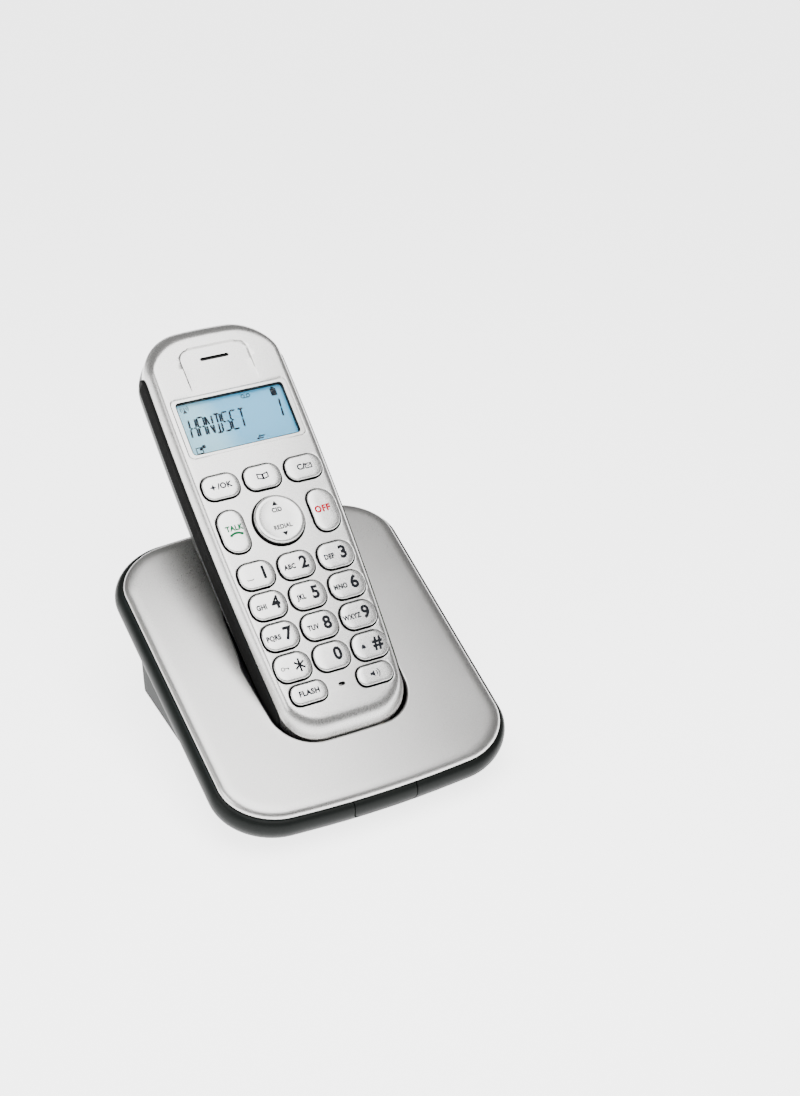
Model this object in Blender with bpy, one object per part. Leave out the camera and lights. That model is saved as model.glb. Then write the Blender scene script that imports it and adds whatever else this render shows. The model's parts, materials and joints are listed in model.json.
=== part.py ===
"""A cordless telephone handset standing in its desk base, as separate pieces.

Lengths are in millimetres and turned into metres by MM. +Z is up and -Y is the front.
The base's pieces are drawn in the plate frame: X to the right, Y up the sloping top plate from its
front edge, Z square to the plate. The handset's are drawn in the handset frame, with its origin on
the face at the centre of the rocker key: X to the right, Y towards the earpiece, Z out of the face.
"""

import math

import bmesh
import bpy
from mathutils import Matrix, Vector

MM = 0.001

# Driving angles and places.
PLATE_TILT = 19.0  # slope of the base's top plate, degrees
HANDSET_LEAN = 36.5  # slope of the handset's face, degrees
PLATE_FRONT_Y = -60.0
PLATE_FRONT_Z = 13.5
NAV_ALONG_PLATE = 85.0  # the rocker key's centre, measured from the plate's front edge
NAV_ABOVE_PLATE = 23.4

# Base.
PLATE_HALF_WIDTH = 45.5
PLATE_LENGTH = 106.3
PLATE_CORNER = 16.5
PLATE_CROWN_FRONT = 2.9
PLATE_CROWN_REAR = 3.6
PLATE_THICK = 2.2
COVER_RIM_INSET = 2.6
COVER_RIM_WALL = 1.6
COVER_RIM_DEPTH = 8.0
SKIRT_BULGE = 2.4
SKIRT_DEPTH = 11.6
SKIRT_INNER_INSET = COVER_RIM_INSET - 0.3
HOUSING_INSET = COVER_RIM_INSET + COVER_RIM_WALL + 0.3
HOUSING_WALL = 2.0
HOUSING_TOP_DEPTH = 4.0
HOUSING_FLOOR_Z = 1.0
HOUSING_FLOOR_THICK = 2.0
HOUSING_DRAFT = 0.8
FOOT_RADIUS = 5.0
FOOT_HEIGHT = 1.7
FOOT_X = 31.0
FOOT_Y = (-42.0, 30.0)
SCREW_X = 33.0
SCREW_Y = (-31.0, 22.0)
SCREW_HEAD_RADIUS = 2.7
SCREW_SHANK_RADIUS = 1.3
SCREW_LENGTH = 13.0
POST_RADIUS = 3.4
GAP = 0.3  # between pieces that touch

# Page key, in the middle of the skirt's front.
PAGE_HALF_WIDTH = 10.0
PAGE_BOTTOM_DEPTH = 8.0
PAGE_INNER = 1.4

# Cradle pocket, in the handset frame.
POCKET_CORNER = 12.5
POCKET_TOP = 12.0
POCKET_WALL = 1.4
POCKET_GAP = 0.6  # from the handset to the pocket
OPENING_INSET = 0.25  # the plate's edge stands this far inside the pocket's walls
# The pocket's section, from its floor upwards: how far the side wall stands outside the handset's
# outline, how far the end wall stands inside the handset's end, and the share of the depth.
POCKET_SECTION = (
    (-5.5, 4.0, 1.0),
    (-2.9, 1.6, 0.95),
    (-1.1, -0.1, 0.83),
    (0.2, -POCKET_GAP, 0.6),
    (0.65, -POCKET_GAP, 0.36),
    (2.0, -POCKET_GAP, 0.33),
)
POCKET_LEDGE_WALL = 0.1  # as a share of the depth

# Handset.
HANDSET_TOP = 70.0
HANDSET_BOTTOM = -68.0
HANDSET_HALF_WIDTH = 23.0
WIDEST_AT = 20.0
TAPER_LINEAR = 0.0069
TAPER_SQUARE = 0.00038
TOP_CORNER = 14.5
BOTTOM_CORNER = 12.0
TOP_CROWN = 1.6
BOTTOM_CROWN = 0.6
FACE_THICK = 1.8
SIDE_WALL = 1.8
SHELL_SPLIT = -8.15
BACK_UPPER = -22.5
BACK_MIDDLE = -20.9
BACK_LOWER = -18.5
BACK_END = -11.0
BACK_WALL = 1.8
BACK_CHAMFER_TOP = -61.2
GRIP_TOP = 58.0
GRIP_BOTTOM = -59.0
GRIP_CENTRE = -7.8
GRIP_HALF_HEIGHT = 3.5
GRIP_PROUD = 1.1
GRIP_SEAT = 0.8

# Display.
WINDOW_WIDTH = 36.0
WINDOW_HEIGHT = 18.2
WINDOW_V = 35.8

# Keys.
KEY_GAP = 0.35
KEY_TOP = 0.9
KEY_FLANGE = 0.6
COLUMN_AT_NAV = 13.28
COLUMN_TAPER = 0.0127
ROW_FIRST = -15.2
ROW_PITCH = 10.05
NUMBER_KEY = (11.2, 8.3, 3.4)
SOFT_KEY = (11.6, 7.8, 3.2)
LOW_KEY = (11.2, 6.0, 2.5)
SOFT_U = 13.7
SOFT_V = 14.8
CALL_U = 14.5
CALL_V = -0.2
CALL_KEY = (9.3, 13.9, 4.4)
CALL_WAIST = 1.2
LOW_U = 10.8
LOW_V = -54.1
NAV_RADIUS = 7.9
NAV_TOP = 1.9
SLOT_V = 57.8

# Inner stack of the handset, from the face backwards.
MEMBRANE = (-3.9, -5.1)
BOARD = (-5.5, -6.7)
CELL_RADIUS = 5.25
CELL_LENGTH = 44.5
CELL_CLEARANCE = 0.75  # from each cell to the middle
CELL_U = CELL_RADIUS + CELL_CLEARANCE
CELL_V = 28.0
CELL_N = -14.8
DOOR_HALF_WIDTH = 15.0
DOOR_BOTTOM = 4.0
DOOR_TOP = 52.0
DOOR_THICK = 1.3


def clear_scene():
    for thing in list(bpy.data.objects):
        bpy.data.objects.remove(thing, do_unlink=True)


def material(name, colour, roughness, metallic):
    made = bpy.data.materials.get(name)
    if made is None:
        made = bpy.data.materials.new(name)
        made.use_nodes = True
        shader = made.node_tree.nodes["Principled BSDF"]
        shader.inputs["Base Color"].default_value = (*colour, 1.0)
        shader.inputs["Roughness"].default_value = roughness
        shader.inputs["Metallic"].default_value = metallic
    return made


def silver():
    return material("silver_paint", (0.72, 0.73, 0.72), 0.32, 0.6)


def charcoal():
    return material("charcoal_plastic", (0.035, 0.04, 0.04), 0.4, 0.0)


def black():
    return material("black_plastic", (0.01, 0.01, 0.01), 0.5, 0.0)


def rubber():
    return material("grip_rubber", (0.012, 0.012, 0.012), 0.75, 0.0)


def metal():
    return material("bright_metal", (0.8, 0.78, 0.72), 0.25, 1.0)


def board_green():
    return material("board", (0.02, 0.16, 0.06), 0.5, 0.0)


def frame(name, location, lean):
    made = bpy.data.objects.new(name, None)
    made.empty_display_size = 0.02
    made.location = [c * MM for c in location]
    made.rotation_euler = (math.radians(lean), 0.0, 0.0)
    bpy.context.scene.collection.objects.link(made)
    return made


def add_object(name, bm, finish=None, parent=None, origin=(0, 0, 0), smooth=True):
    """An object of the mesh, whose coordinates are in the parent's frame and in millimetres."""
    bmesh.ops.recalc_face_normals(bm, faces=bm.faces)
    bmesh.ops.translate(bm, verts=bm.verts, vec=-Vector(origin))
    bmesh.ops.scale(bm, verts=bm.verts, vec=(MM, MM, MM))
    mesh = bpy.data.meshes.new(name)
    bm.to_mesh(mesh)
    bm.free()
    made = bpy.data.objects.new(name, mesh)
    bpy.context.scene.collection.objects.link(made)
    made.parent = parent
    made.location = Vector(origin) * MM
    if finish is not None:
        mesh.materials.append(finish)
    if smooth:
        mesh.shade_smooth()
        mesh.set_sharp_from_angle(angle=math.radians(35))
    return made


def as_cutter(made):
    made.hide_render = True
    made.display_type = "WIRE"
    return made


def boolean(target, other, operation="DIFFERENCE"):
    made = target.modifiers.new(other.name, "BOOLEAN")
    made.operation = operation
    made.solver = "EXACT"
    made.object = other
    return made


# Outlines. Half an outline runs up the right-hand side, from its bottom centre to its top centre.


def half_outline(half_width, bottom, top, r_bottom, r_top, crown_bottom, crown_top, inset):
    """Right-hand half of a rounded shape whose half width depends on height, drawn in by inset."""
    bottom += inset
    top -= inset
    r_bottom = max(r_bottom - inset, 0.8)
    r_top = max(r_top - inset, 0.8)
    points = []

    def width(y):
        return half_width(y) - inset

    def corner(centre_y, radius, start, crown, side, steps):
        wide = width(centre_y)
        for i in range(steps + 1):
            angle = start + math.radians(90.0) * i / steps
            x = wide - radius + radius * math.cos(angle)
            y = centre_y + (radius - crown) * math.sin(angle) + side * crown * (1 - (x / wide) ** 2)
            points.append((x, y))

    low = bottom + r_bottom
    high = top - r_top
    points.append((0.0, bottom))
    corner(low, r_bottom, math.radians(-90.0), crown_bottom, -1, 7)
    for i in range(1, 8):
        y = low + (high - low) * i / 8
        points.append((width(y), y))
    corner(high, r_top, 0.0, crown_top, 1, 7)
    points.append((0.0, top))
    return points


def full_ring(half):
    left = [(-x, y) for x, y in reversed(half[1:-1])]
    return half + left


def lofted(bm, rings):
    """Quads between rings of points, and a ladder of faces across the first and the last ring."""
    rows = [[bm.verts.new(p) for p in ring] for ring in rings]
    count = len(rows[0])
    for low, high in zip(rows, rows[1:]):
        for i in range(count):
            j = (i + 1) % count
            bm.faces.new((low[i], low[j], high[j], high[i]))
    for row in (rows[0], rows[-1]):
        for i in range(count // 2):
            corners = [row[i], row[i + 1], row[-i - 1], row[-i]]
            corners = [v for k, v in enumerate(corners) if v not in corners[:k]]
            bm.faces.new(corners)
    return bm


def loft(rings):
    return lofted(bmesh.new(), rings)


def level(half, z):
    return [(x, y, z) for x, y in full_ring(half)]


def round_rect(width, height, radius, centre=(0.0, 0.0), steps=4):
    """Points round a rectangle with round corners, anticlockwise from its lower right side."""
    points = []
    for turn, (sx, sy) in enumerate(((1, -1), (1, 1), (-1, 1), (-1, -1))):
        cx = sx * (width / 2 - radius)
        cy = sy * (height / 2 - radius)
        for i in range(steps + 1):
            angle = math.radians(90.0 * (turn - 1) + 90.0 * i / steps)
            points.append((cx + radius * math.cos(angle), cy + radius * math.sin(angle)))
    return [(x + centre[0], y + centre[1]) for x, y in points]


def round_disc(radius, centre=(0.0, 0.0), steps=24):
    turn = 2 * math.pi / steps
    return [
        (centre[0] + radius * math.cos(i * turn), centre[1] + radius * math.sin(i * turn))
        for i in range(steps)
    ]


def stacked(bm, layers):
    """A closed stack of rings of points; layers is a list of (points, height)."""
    rows = [[bm.verts.new((x, y, z)) for x, y in points] for points, z in layers]
    count = len(rows[0])
    for low, high in zip(rows, rows[1:]):
        for i in range(count):
            j = (i + 1) % count
            bm.faces.new((low[i], low[j], high[j], high[i]))
    bm.faces.new(rows[0])
    bm.faces.new(rows[-1])
    return bm


def stack(layers):
    return stacked(bmesh.new(), layers)


def box(low, high):
    bm = bmesh.new()
    size = [b - a for a, b in zip(low, high)]
    centre = [(a + b) / 2 for a, b in zip(low, high)]
    bmesh.ops.create_cube(bm, size=1.0)
    bmesh.ops.scale(bm, verts=bm.verts, vec=size)
    bmesh.ops.translate(bm, verts=bm.verts, vec=centre)
    return bm


def cylinder_into(bm, radius, start, end, steps=20):
    """A cylinder between two points, added to a mesh."""
    axis = Vector(end) - Vector(start)
    turn = axis.to_track_quat("Z", "Y").to_matrix().to_4x4()
    place = Matrix.Translation((Vector(start) + Vector(end)) / 2) @ turn
    bmesh.ops.create_cone(
        bm, cap_ends=True, segments=steps, radius1=radius, radius2=radius, depth=axis.length, matrix=place
    )
    return bm


def cylinder(radius, start, end, steps=20):
    return cylinder_into(bmesh.new(), radius, start, end, steps)


# The base, in the plate frame.


def plate_half(inset):
    return half_outline(
        lambda y: PLATE_HALF_WIDTH,
        0.0,
        PLATE_LENGTH,
        PLATE_CORNER,
        PLATE_CORNER,
        PLATE_CROWN_FRONT,
        PLATE_CROWN_REAR,
        inset,
    )


def to_world(x, along, above):
    tilt = math.radians(PLATE_TILT)
    y = PLATE_FRONT_Y + along * math.cos(tilt) - above * math.sin(tilt)
    z = PLATE_FRONT_Z + along * math.sin(tilt) + above * math.cos(tilt)
    return (x, y, z)


def make_base_top_cover(plate, handset):
    rim = COVER_RIM_INSET
    inner = rim + COVER_RIM_WALL
    outer = [(3.2, 0.0), (1.3, -0.35), (0.35, -1.0), (0.0, -1.7), (0.0, -PLATE_THICK)]
    rings = [level(plate_half(inset), z) for inset, z in outer]
    rings.append(level(plate_half(rim), -PLATE_THICK))
    rings.append(level(plate_half(rim), -COVER_RIM_DEPTH))
    rings.append(level(plate_half(inner), -COVER_RIM_DEPTH))
    rings.append(level(plate_half(inner), -PLATE_THICK))
    cover = add_object("base_top_cover", loft(rings), silver(), plate)
    boolean(cover, make_screw_posts(), "UNION")
    boolean(cover, make_screw_bores())
    opening = loft(pocket_rings(OPENING_INSET, 0.0, 14.0))
    boolean(cover, as_cutter(add_object("cradle_opening_cutter", opening, None, handset)))
    slot = box((-5.3, rim - 1.0, -COVER_RIM_DEPTH - 1.0), (5.3, inner + 1.0, -PLATE_THICK - 0.2))
    boolean(cover, as_cutter(add_object("page_switch_cutter", slot, None, plate)))
    return cover


def screw_places():
    return [(sx * SCREW_X, y) for y in SCREW_Y for sx in (-1, 1)]


def make_screw_posts():
    bm = bmesh.new()
    for x, y in screw_places():
        along = (y - PLATE_FRONT_Y) / math.cos(math.radians(PLATE_TILT))
        top = to_world(x, along, -PLATE_THICK * 0.8)[2]
        bottom = HOUSING_FLOOR_Z + HOUSING_FLOOR_THICK + GAP
        cylinder_into(bm, POST_RADIUS, (x, y, bottom), (x, y, top), 16)
    return as_cutter(add_object("screw_posts", bm))


def make_screw_bores():
    bm = bmesh.new()
    radius = SCREW_SHANK_RADIUS + 0.1
    for x, y in screw_places():
        cylinder_into(bm, radius, (x, y, 0.0), (x, y, HOUSING_FLOOR_Z + SCREW_LENGTH + 0.8), 16)
    return as_cutter(add_object("screw_bores", bm))


def skirt_profile():
    """Inset and height of the skirt's outer side, from its top edge to its bottom lip."""
    return [
        (0.2, -PLATE_THICK - GAP),
        (-1.2, -2.9),
        (-0.9 * SKIRT_BULGE, -4.2),
        (-SKIRT_BULGE, -6.2),
        (-0.85 * SKIRT_BULGE, -8.4),
        (-0.35 * SKIRT_BULGE, -10.4),
        (0.8, -SKIRT_DEPTH),
    ]


def make_base_skirt(plate):
    rings = [level(plate_half(inset), z) for inset, z in skirt_profile()]
    lip = HOUSING_INSET - GAP
    top = skirt_profile()[0][1]
    inner = [
        (lip, -SKIRT_DEPTH),
        (lip, -SKIRT_DEPTH + 1.4),
        (SKIRT_INNER_INSET, -SKIRT_DEPTH + 1.4),
        (SKIRT_INNER_INSET, top),
    ]
    rings += [level(plate_half(inset), z) for inset, z in inner]
    bm = bmesh.new()
    rows = [[bm.verts.new(p) for p in ring] for ring in rings]
    count = len(rows[0])
    for low, high in zip(rows, rows[1:] + rows[:1]):
        for i in range(count):
            j = (i + 1) % count
            bm.faces.new((low[i], low[j], high[j], high[i]))
    skirt = add_object("base_skirt", bm, charcoal(), plate)
    boolean(skirt, make_page_form("page_key_cutter", plate, GAP, 6.0))
    return skirt


def make_page_form(name, plate, grow, deep):
    """The tab-shaped block that the page key is cut from, grown on every side by grow."""
    half = PAGE_HALF_WIDTH + grow
    bottom = -PAGE_BOTTOM_DEPTH - grow
    top = -PLATE_THICK - GAP
    top = top + 1.0 if grow else top - 0.1
    radius = 2.4
    outline = [(half, top), (-half, top), (-half, bottom + radius)]
    for i in range(1, 6):
        angle = math.radians(180 + 15 * i)
        outline.append((-half + radius + radius * math.cos(angle), bottom + radius + radius * math.sin(angle)))
    outline.append((-half + radius, bottom))
    outline += [(-x, z) for x, z in reversed(outline[2:])]
    bm = bmesh.new()
    front = [bm.verts.new((x, -8.0, z)) for x, z in outline]
    back = [bm.verts.new((x, deep, z)) for x, z in outline]
    for i in range(len(front)):
        j = (i + 1) % len(front)
        bm.faces.new((front[i], front[j], back[j], back[i]))
    bm.faces.new(front)
    bm.faces.new(back)
    made = add_object(name, bm, None, plate)
    return as_cutter(made) if grow else made


def make_page_key(plate):
    key = make_page_form("page_key", plate, 0.0, PAGE_INNER)
    key.data.materials.append(charcoal())
    rings = [level(plate_half(inset), z) for inset, z in skirt_profile()]
    form = as_cutter(add_object("skirt_form", loft(rings), None, plate))
    boolean(key, form, "INTERSECT")
    return key


def make_page_switch(plate):
    low = (-4.9, COVER_RIM_INSET + 0.3, -7.0)
    high = (4.9, COVER_RIM_INSET + 4.6, -3.0)
    return add_object("page_switch", box(low, high), black(), plate, smooth=False)


def housing_ring(inset, depth):
    return [to_world(x, y, -depth) for x, y in full_ring(plate_half(inset))]


def floor_ring(inset, draft, z):
    low = SKIRT_DEPTH + 0.7
    ring = [to_world(x, y, -low) for x, y in full_ring(plate_half(inset))]
    centre = sum(p[1] for p in ring) / len(ring)
    far = max(abs(p[1] - centre) for p in ring)
    return [(x * (1 - draft / PLATE_HALF_WIDTH), centre + (y - centre) * (1 - draft / far), z) for x, y, _ in ring]


def make_base_lower_housing(plate):
    low = SKIRT_DEPTH + 0.7
    inner = HOUSING_INSET + HOUSING_WALL
    floor = HOUSING_FLOOR_Z + HOUSING_FLOOR_THICK
    rings = [
        floor_ring(HOUSING_INSET, HOUSING_DRAFT, HOUSING_FLOOR_Z),
        housing_ring(HOUSING_INSET, low),
        housing_ring(HOUSING_INSET, HOUSING_TOP_DEPTH),
        housing_ring(inner, HOUSING_TOP_DEPTH),
        housing_ring(inner, low),
        floor_ring(inner, HOUSING_DRAFT, floor),
    ]
    housing = add_object("base_lower_housing", loft(rings), charcoal())
    bm = bmesh.new()
    for x in (-FOOT_X, FOOT_X):
        for y in FOOT_Y:
            cylinder_into(bm, FOOT_RADIUS + GAP, (x, y, -1.0), (x, y, FOOT_HEIGHT + GAP), 24)
    for x, y in screw_places():
        head = round_disc(SCREW_HEAD_RADIUS + GAP, (x, y), 16)
        shank = round_disc(SCREW_SHANK_RADIUS + GAP, (x, y), 16)
        step = HOUSING_FLOOR_Z + 1.2
        stacked(bm, [(head, -1.2), (head, step), (shank, step), (shank, floor + 0.6)])
    boolean(housing, as_cutter(add_object("housing_holes", bm)))
    notch = box((-5.3, COVER_RIM_INSET, -7.4), (5.3, COVER_RIM_INSET + 5.3, 0.0))
    boolean(housing, as_cutter(add_object("switch_notch", notch, None, plate)))
    bm = box(*jack_box(LINE_JACK, GAP))
    start, end = power_jack_axis(GAP)
    cylinder_into(bm, POWER_JACK_RADIUS + GAP, start, end, 24)
    boolean(housing, as_cutter(add_object("jack_holes", bm)))
    return housing


LINE_JACK = (14.0, 13.0, 12.0, 11.5)  # centre x, centre z, width, height
POWER_JACK_X = -14.0
POWER_JACK_Z = 13.0
POWER_JACK_RADIUS = 5.0
JACK_DEPTH = 12.0


def rear_wall_y():
    return to_world(0.0, PLATE_LENGTH - HOUSING_INSET, -SKIRT_DEPTH - 0.7)[1]


def jack_box(jack, grow):
    x, z, width, height = jack
    back = rear_wall_y() - 1.0
    low = (x - width / 2 - grow, back - JACK_DEPTH - grow, z - height / 2 - grow)
    reach = back + 6.0 if grow else back
    return low, (x + width / 2 + grow, reach, z + height / 2 + grow)


def power_jack_axis(grow):
    back = rear_wall_y() - 1.0
    reach = back + 6.0 if grow else back
    return (POWER_JACK_X, back - JACK_DEPTH - grow, POWER_JACK_Z), (POWER_JACK_X, reach, POWER_JACK_Z)


def make_line_jack():
    x, z, width, height = LINE_JACK
    back = rear_wall_y() - 1.0
    jack = add_object("line_jack", box(*jack_box(LINE_JACK, 0.0)), black(), smooth=False)
    socket = box((x - 4.2, back - 8.0, z - 3.4), (x + 4.2, back + 1.0, z + 3.0))
    boolean(jack, as_cutter(add_object("line_socket_cutter", socket)))
    return jack


def make_power_jack():
    start, end = power_jack_axis(0.0)
    jack = add_object("power_jack", cylinder(POWER_JACK_RADIUS, start, end, 24), black())
    mouth = (end[0], end[1] + 1.0, end[2])
    deep = (end[0], end[1] - 8.0, end[2])
    bm = cylinder(3.0, deep, mouth, 20)
    ring = as_cutter(add_object("power_socket_cutter", bm))
    boolean(jack, ring)
    pin = cylinder(1.0, (end[0], end[1] - 9.0, end[2]), (end[0], end[1] - 1.0, end[2]), 12)
    boolean(jack, as_cutter(add_object("power_pin_form", pin)), "UNION")
    return jack


def make_feet():
    number = 0
    for y, end in zip(FOOT_Y, ("front", "rear")):
        for x, side in ((-FOOT_X, "left"), (FOOT_X, "right")):
            layers = [
                (round_disc(FOOT_RADIUS - 0.4, (x, y)), 0.0),
                (round_disc(FOOT_RADIUS, (x, y)), 0.4),
                (round_disc(FOOT_RADIUS, (x, y)), FOOT_HEIGHT),
            ]
            add_object(f"foot_{end}_{side}", stack(layers), rubber())
            number += 1
    return number


def make_base_screws():
    names = ("front_left", "front_right", "rear_left", "rear_right")
    for name, (x, y) in zip(names, screw_places()):
        head = HOUSING_FLOOR_Z + 0.9
        layers = [
            (round_disc(SCREW_HEAD_RADIUS, (x, y), 16), HOUSING_FLOOR_Z - 0.4),
            (round_disc(SCREW_HEAD_RADIUS, (x, y), 16), head),
            (round_disc(SCREW_SHANK_RADIUS, (x, y), 16), head),
            (round_disc(SCREW_SHANK_RADIUS, (x, y), 16), HOUSING_FLOOR_Z + SCREW_LENGTH),
        ]
        add_object(f"base_screw_{name}", stack(layers), metal())


def make_base_board():
    floor = HOUSING_FLOOR_Z + HOUSING_FLOOR_THICK + GAP
    back = rear_wall_y() - 1.0 - JACK_DEPTH - 1.0
    outline = round_rect(52.0, 42.0, 2.0, (0.0, back - 21.0), 2)
    return add_object("base_circuit_board", stack([(outline, floor), (outline, floor + 1.6)]), board_green(), smooth=False)


def make_base_antenna():
    floor = HOUSING_FLOOR_Z + HOUSING_FLOOR_THICK + GAP + 1.6 + GAP
    back = rear_wall_y() - 1.0 - JACK_DEPTH - 1.0
    low = (-24.0, back - 2.0, floor)
    high = (-4.0, back - 1.0, floor + 9.0)
    return add_object("base_antenna", box(low, high), metal(), smooth=False)


# The cradle pocket, in the handset frame.


def back_height(v):
    """How far behind the face the handset's back lies, along its length."""
    places = [
        (HANDSET_BOTTOM, BACK_END),
        (BACK_CHAMFER_TOP, BACK_LOWER),
        (-40.0, BACK_LOWER),
        (DOOR_BOTTOM - 3.0, BACK_MIDDLE),
        (DOOR_BOTTOM - 2.9, BACK_MIDDLE),
        (HANDSET_TOP, BACK_MIDDLE),
    ]
    return along(places, v)


def along(places, v):
    if v <= places[0][0]:
        return places[0][1]
    for (v0, n0), (v1, n1) in zip(places, places[1:]):
        if v <= v1:
            return n0 + (n1 - n0) * (v - v0) / (v1 - v0)
    return places[-1][1]


def pocket_half(side, end):
    """The pocket's outline, standing out from the handset's at its sides and in from its end."""
    return half_outline(
        lambda y: handset_width(y) + side + end,
        HANDSET_BOTTOM,
        POCKET_TOP,
        POCKET_CORNER,
        3.0,
        BOTTOM_CROWN,
        0.0,
        end,
    )


def pocket_rings(inset, deeper, top):
    """The pocket's hollow: its sides step in under the grips and its floor follows the handset's back."""
    split = SHELL_SPLIT - GAP
    rings = []
    for side, end, share in POCKET_SECTION:
        if deeper and share < 0.5:
            share += POCKET_LEDGE_WALL
        ring = []
        for x, y in full_ring(pocket_half(side - inset, end + inset)):
            floor = back_height(y) - POCKET_GAP - deeper
            ring.append((x, y, split + (floor - split) * share))
        rings.append(ring)
    side, end, _ = POCKET_SECTION[-1]
    rings.append(level(pocket_half(side - inset, end + inset), top))
    return rings


def make_cradle_liner(plate, handset):
    outer = loft(pocket_rings(-POCKET_WALL, POCKET_WALL, 14.0))
    liner = add_object("cradle_liner", outer, black(), handset)
    hollow = loft(pocket_rings(0.0, 0.0, 16.0))
    boolean(liner, as_cutter(add_object("pocket_cutter", hollow, None, handset)))
    above = box((-60.0, -20.0, -PLATE_THICK - GAP), (60.0, 130.0, 60.0))
    boolean(liner, as_cutter(add_object("above_plate_cutter", above, None, plate)))
    for side, name in ((-1, "left"), (1, "right")):
        slot = box(*contact_box(side, GAP))
        boolean(liner, as_cutter(add_object(f"contact_slot_{name}", slot, None, handset)))
    return liner


CONTACT_U = 9.0
CONTACT_HALF_WIDTH = 1.6
CONTACT_N = (-9.6, -6.2)


def contact_box(side, grow):
    front = HANDSET_BOTTOM - POCKET_GAP - POCKET_WALL - 1.2
    reach = HANDSET_BOTTOM - 0.3
    middle = side * CONTACT_U
    low = (middle - CONTACT_HALF_WIDTH - grow, front - grow, CONTACT_N[0] - grow)
    high = (middle + CONTACT_HALF_WIDTH + grow, reach + grow, CONTACT_N[1] + grow)
    return low, high


def make_cradle_contacts(handset):
    for side, name in ((-1, "left"), (1, "right")):
        add_object(f"cradle_contact_{name}", box(*contact_box(side, 0.0)), metal(), handset, smooth=False)


# The handset.


def handset_width(v):
    d = v - WIDEST_AT
    return HANDSET_HALF_WIDTH + TAPER_LINEAR * d - TAPER_SQUARE * d * d


def handset_half(inset):
    return half_outline(
        handset_width,
        HANDSET_BOTTOM,
        HANDSET_TOP,
        BOTTOM_CORNER,
        TOP_CORNER,
        BOTTOM_CROWN,
        TOP_CROWN,
        inset,
    )


def make_front_shell(handset):
    outer = [(3.0, 0.0), (1.5, -0.5), (0.5, -1.6), (0.1, -3.0), (0.0, -4.4), (0.0, SHELL_SPLIT)]
    rings = [level(handset_half(inset), z) for inset, z in outer]
    rings.append(level(handset_half(SIDE_WALL), SHELL_SPLIT))
    rings.append(level(handset_half(SIDE_WALL + 0.4), -FACE_THICK))
    shell = add_object("handset_front_shell", loft(rings), silver(), handset)
    boolean(shell, make_face_holes(handset))
    boolean(shell, contact_seats(handset))
    for name, side in (("left", -1), ("right", 1)):
        boolean(shell, grip_seat(handset, name, side))
    return shell


def make_face_holes(handset):
    bm = bmesh.new()
    low = -FACE_THICK - 0.8
    high = 1.5
    for outline in key_outlines(KEY_GAP).values():
        stacked(bm, [(outline, low), (outline, high)])
    window = round_rect(WINDOW_WIDTH, WINDOW_HEIGHT, 1.2, (0.0, WINDOW_V), 3)
    slot = round_rect(9.6, 1.2, 0.55, (0.0, SLOT_V), 3)
    mouth = round_rect(2.2, 1.2, 0.5, (0.0, LOW_V), 3)
    for outline in (window, slot, mouth):
        stacked(bm, [(outline, low), (outline, high)])
    return as_cutter(add_object("face_holes", bm, None, handset))


def grip_rings(side, low_inset, proud, grow):
    """Sections of a side grip, from its lower end to its upper end, round at both."""
    rings = []
    bottom = GRIP_BOTTOM - grow
    top = GRIP_TOP + grow
    tall = GRIP_HALF_HEIGHT + grow
    steps = 20
    ends = 5
    places = [bottom + tall * (1 - math.cos(math.radians(90 * i / ends))) for i in range(ends)]
    places += [bottom + tall + (top - bottom - 2 * tall) * i / steps for i in range(steps + 1)]
    places += [top - tall * (1 - math.cos(math.radians(90 * (ends - i) / ends))) for i in range(1, ends + 1)]
    for v in places:
        edge = max(bottom + tall - v, v - (top - tall), 0.0)
        half = max(math.sqrt(max(tall * tall - edge * edge, 0.0)), 0.5)
        wide = handset_width(v)
        inner = side * (wide - low_inset)
        outer = side * (wide + proud)
        soft = side * (wide + proud - min(0.6, half * 0.5))
        high = GRIP_CENTRE + half
        low = GRIP_CENTRE - half
        rings.append(
            [
                (inner, v, low),
                (soft, v, low),
                (outer, v, low + half * 0.5),
                (outer, v, high - half * 0.5),
                (soft, v, high),
                (inner, v, high),
            ]
        )
    return rings


def ringed(rings):
    bm = bmesh.new()
    rows = [[bm.verts.new(p) for p in ring] for ring in rings]
    count = len(rows[0])
    for low, high in zip(rows, rows[1:]):
        for i in range(count):
            j = (i + 1) % count
            bm.faces.new((low[i], low[j], high[j], high[i]))
    bm.faces.new(rows[0])
    bm.faces.new(rows[-1])
    return bm


def grip_seat(handset, name, side):
    key = f"grip_seat_{name}"
    made = bpy.data.objects.get(key)
    if made is None:
        bm = ringed(grip_rings(side, GRIP_SEAT + GAP, 4.0, GAP))
        made = as_cutter(add_object(key, bm, None, handset))
    return made


def make_grips(handset):
    for name, side in (("left", -1), ("right", 1)):
        bm = ringed(grip_rings(side, GRIP_SEAT, GRIP_PROUD, 0.0))
        add_object(f"grip_{name}", bm, rubber(), handset)


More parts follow.
